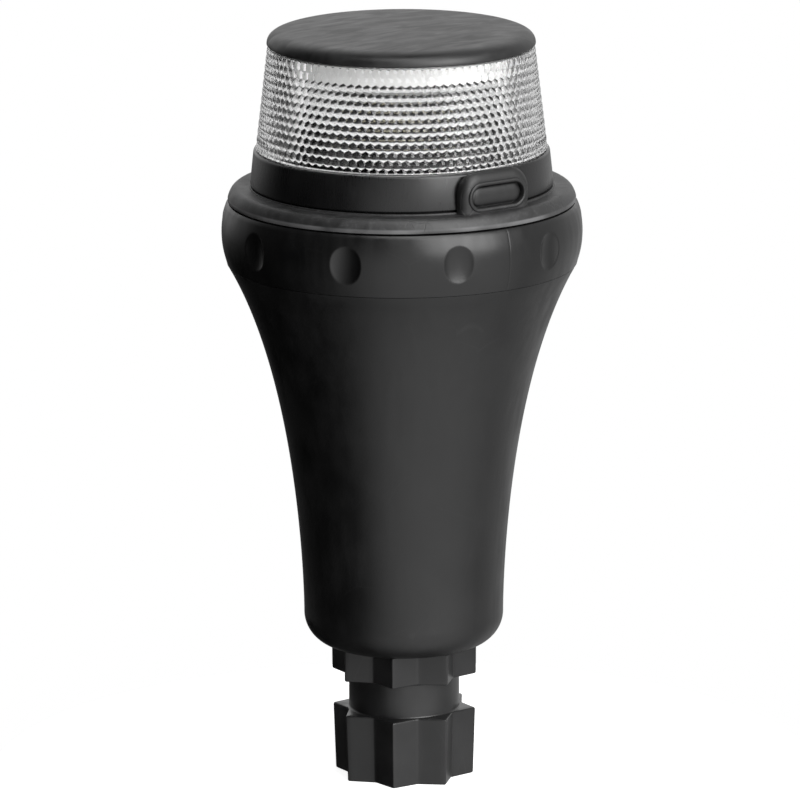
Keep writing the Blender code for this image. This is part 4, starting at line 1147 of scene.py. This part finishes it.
def add_piece(name, mesh, body, slot, *nodes, look=None):
    """A fine piece that rides on a body and stands for CAD nodes."""
    piece = add_object(name, mesh)
    mesh.materials.clear()  # a Boolean leaves an empty slot
    mesh.materials.append(look or LOOKS[slot])
    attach(piece, body)
    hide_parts(*nodes)


def dress_cad_nodes():
    """Gives each CAD node that stays the look of its own material slot, and the baffle its own."""
    for name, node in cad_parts.items():
        for holder in node.material_slots:
            slot = holder.material.name.split(".")[0] if holder.material else ""
            holder.material = NODE_LOOKS.get(name) or LOOKS.get(slot, holder.material)


dress_cad_nodes()
add_piece("mounting_plug", plug_mesh(), "handle", "handle_plastic", "mount_plug", look=PLUG_LOOK_PAINTED_LIGHTER)
add_piece("handle_shell", handle_mesh(), "handle", "handle_plastic", "handle_body")
add_piece("neck_seal_ring", o_ring_mesh(), "handle", "black_rubber", "neck_o_ring")
add_piece("finger_grip_collar", collar_mesh(), "head", "collar_plastic", "grip_collar")
add_piece("flange_and_boot", flange_mesh(), "head", "flange_rubber", "rubber_flange")
add_piece("bezel_ring", bezel_mesh(), "head", "bezel_plastic", "lens_bezel")
add_piece("prismatic_lens", lens_mesh(), "head", "clear_lens", "lens")
add_piece("cap_shell", cap_mesh(), "head", "cap_plastic", "top_cap")
add_piece("button_pill", button_mesh(), "button", "flange_rubber", "switch_button")

skin = add_object("switch_membrane", membrane_mesh())
skin.data.materials.append(LOOKS["flange_rubber"])
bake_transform(skin)


# Studio, in metres apart from the floor

CAMERA_AZIMUTH = radians(-36)
CAMERA_RISE = radians(13.17)
CAMERA_DISTANCE = 1.557
CAMERA_FIELD = radians(5.98)
CAMERA_ROLL = radians(-0.26)
TARGET_HEIGHT = 0.0781
SHIFT_X = -0.0035
WINDOW_AZIMUTH = radians(30)
WINDOW_RISE = radians(-25)
WINDOW_FADE = (0.24, 0.95)
WINDOW_BRIGHTNESS = 1.2
RIM_AZIMUTH = radians(130)
RIM_FADE = (0.2, 0.9)
RIM_BRIGHTNESS = 0.55
BEHIND_FADE = (0.3, 0.9)
BEHIND_BRIGHTNESS = 1.0
HORIZON_FADE = (-0.32, 0.18)
LENS_FADE = (-0.45, -0.28)
THROUGH_LENS = (0.03, 0.97)
SOFTBOX_DISTANCE = 1.0
SOFTBOX_TARGET = Vector((0, 0, 0.09))
FLOOR_R = 85.0
FLOOR_THICK = 2.0


def from_camera(azimuth, rise, distance):
    """A place seen from the lantern, by its azimuth to the right of the camera's own."""
    turn = CAMERA_AZIMUTH + azimuth
    flat = distance * cos(rise)
    return Vector((sin(turn) * flat, -cos(turn) * flat, distance * sin(rise)))


def aim(obj, place, target, roll=0.0):
    obj.location = place
    facing = (target - place).to_track_quat("-Z", "Y").to_matrix()
    obj.rotation_euler = (facing @ Matrix.Rotation(roll, 3, "Z")).to_euler()


def add_camera():
    data = bpy.data.cameras.new("camera")
    data.angle = CAMERA_FIELD
    data.shift_x = SHIFT_X
    camera = add_object("camera", data)
    target = Vector((0, 0, TARGET_HEIGHT))
    aim(camera, target + from_camera(0, CAMERA_RISE, CAMERA_DISTANCE), target, CAMERA_ROLL)
    bpy.context.scene.camera = camera


def add_softbox(name, azimuth, rise, width, height, power):
    data = bpy.data.lights.new(name, "AREA")
    data.shape = "RECTANGLE"
    data.size = width
    data.size_y = height
    data.energy = power
    lamp = add_object(name, data)
    place = SOFTBOX_TARGET + from_camera(azimuth, rise, SOFTBOX_DISTANCE)
    aim(lamp, place, SOFTBOX_TARGET)
    lamp.visible_camera = False


def add_surroundings():
    """White for the camera, and through the clear lens except steeply down. Reflections and fill come
    from a room that is bright low on the right, less so behind, and dark on the left."""
    world = bpy.data.worlds.new("studio")
    world.use_nodes = True
    bpy.context.scene.world = world
    graph = Graph(world.node_tree)
    background = graph.tree.nodes["Background"]
    background.inputs["Color"].default_value = (1.0, 1.0, 1.0, 1.0)
    ray_direction = graph.node("ShaderNodeTexCoord").outputs["Generated"]

    def glow(direction, fade, low, high):
        """Brightness that grows as a ray turns towards a direction. The fade is two cosines."""
        facing = graph.node("ShaderNodeVectorMath", "DOT_PRODUCT")
        facing.inputs[1].default_value = direction
        graph.link(ray_direction, facing.inputs[0])
        return graph.ranged(facing.outputs["Value"], *fade, low, high, "SMOOTHSTEP")

    towards_window = from_camera(WINDOW_AZIMUTH, WINDOW_RISE, 1.0)
    window = glow(towards_window, WINDOW_FADE, 0.0, WINDOW_BRIGHTNESS)
    rim = glow(from_camera(RIM_AZIMUTH, 0, 1.0), RIM_FADE, 0.0, RIM_BRIGHTNESS)
    above = glow((0, 0, 1), HORIZON_FADE, 0.0, BEHIND_BRIGHTNESS)
    behind = glow(from_camera(pi, 0, 1.0), BEHIND_FADE, 0.0, 1.0)
    room = graph.paired("MAXIMUM", graph.paired("MAXIMUM", window, rim), graph.product(above, behind))
    ray = graph.node("ShaderNodeLightPath")
    beyond = glow((0, 0, 1), LENS_FADE, *THROUGH_LENS)
    through = graph.product(ray.outputs["Is Transmission Ray"], beyond)
    seen = graph.paired("MAXIMUM", ray.outputs["Is Camera Ray"], through)
    graph.link(graph.paired("MAXIMUM", seen, room), background.inputs["Strength"])


def add_floor():
    """A round pale floor, bright enough to run into the white surroundings."""
    mesh = rod("pale_floor", FLOOR_R, -FLOOR_THICK, 0.0, 128)
    floor = add_object("pale_floor", mesh)
    look = Look("pale_floor")
    field = look.grain(30.0, 3.0)
    look.coloured(field, (0.6, 0.6, 0.6), (0.62, 0.62, 0.62))
    look.rough(field, 0.8, 0.9)
    look.fixed(Emission_Color=(1.0, 1.0, 1.0, 1.0), Emission_Strength=0.86)
    mesh.materials.append(look.material)
    floor.visible_glossy = False


add_camera()
add_softbox("key_softbox", radians(40), radians(30), width=0.8, height=0.9, power=13.0)
add_softbox("top_softbox", radians(22), radians(70), width=0.7, height=0.5, power=4.5)
add_surroundings()
add_floor()
bpy.context.scene.view_settings.view_transform = "Standard"
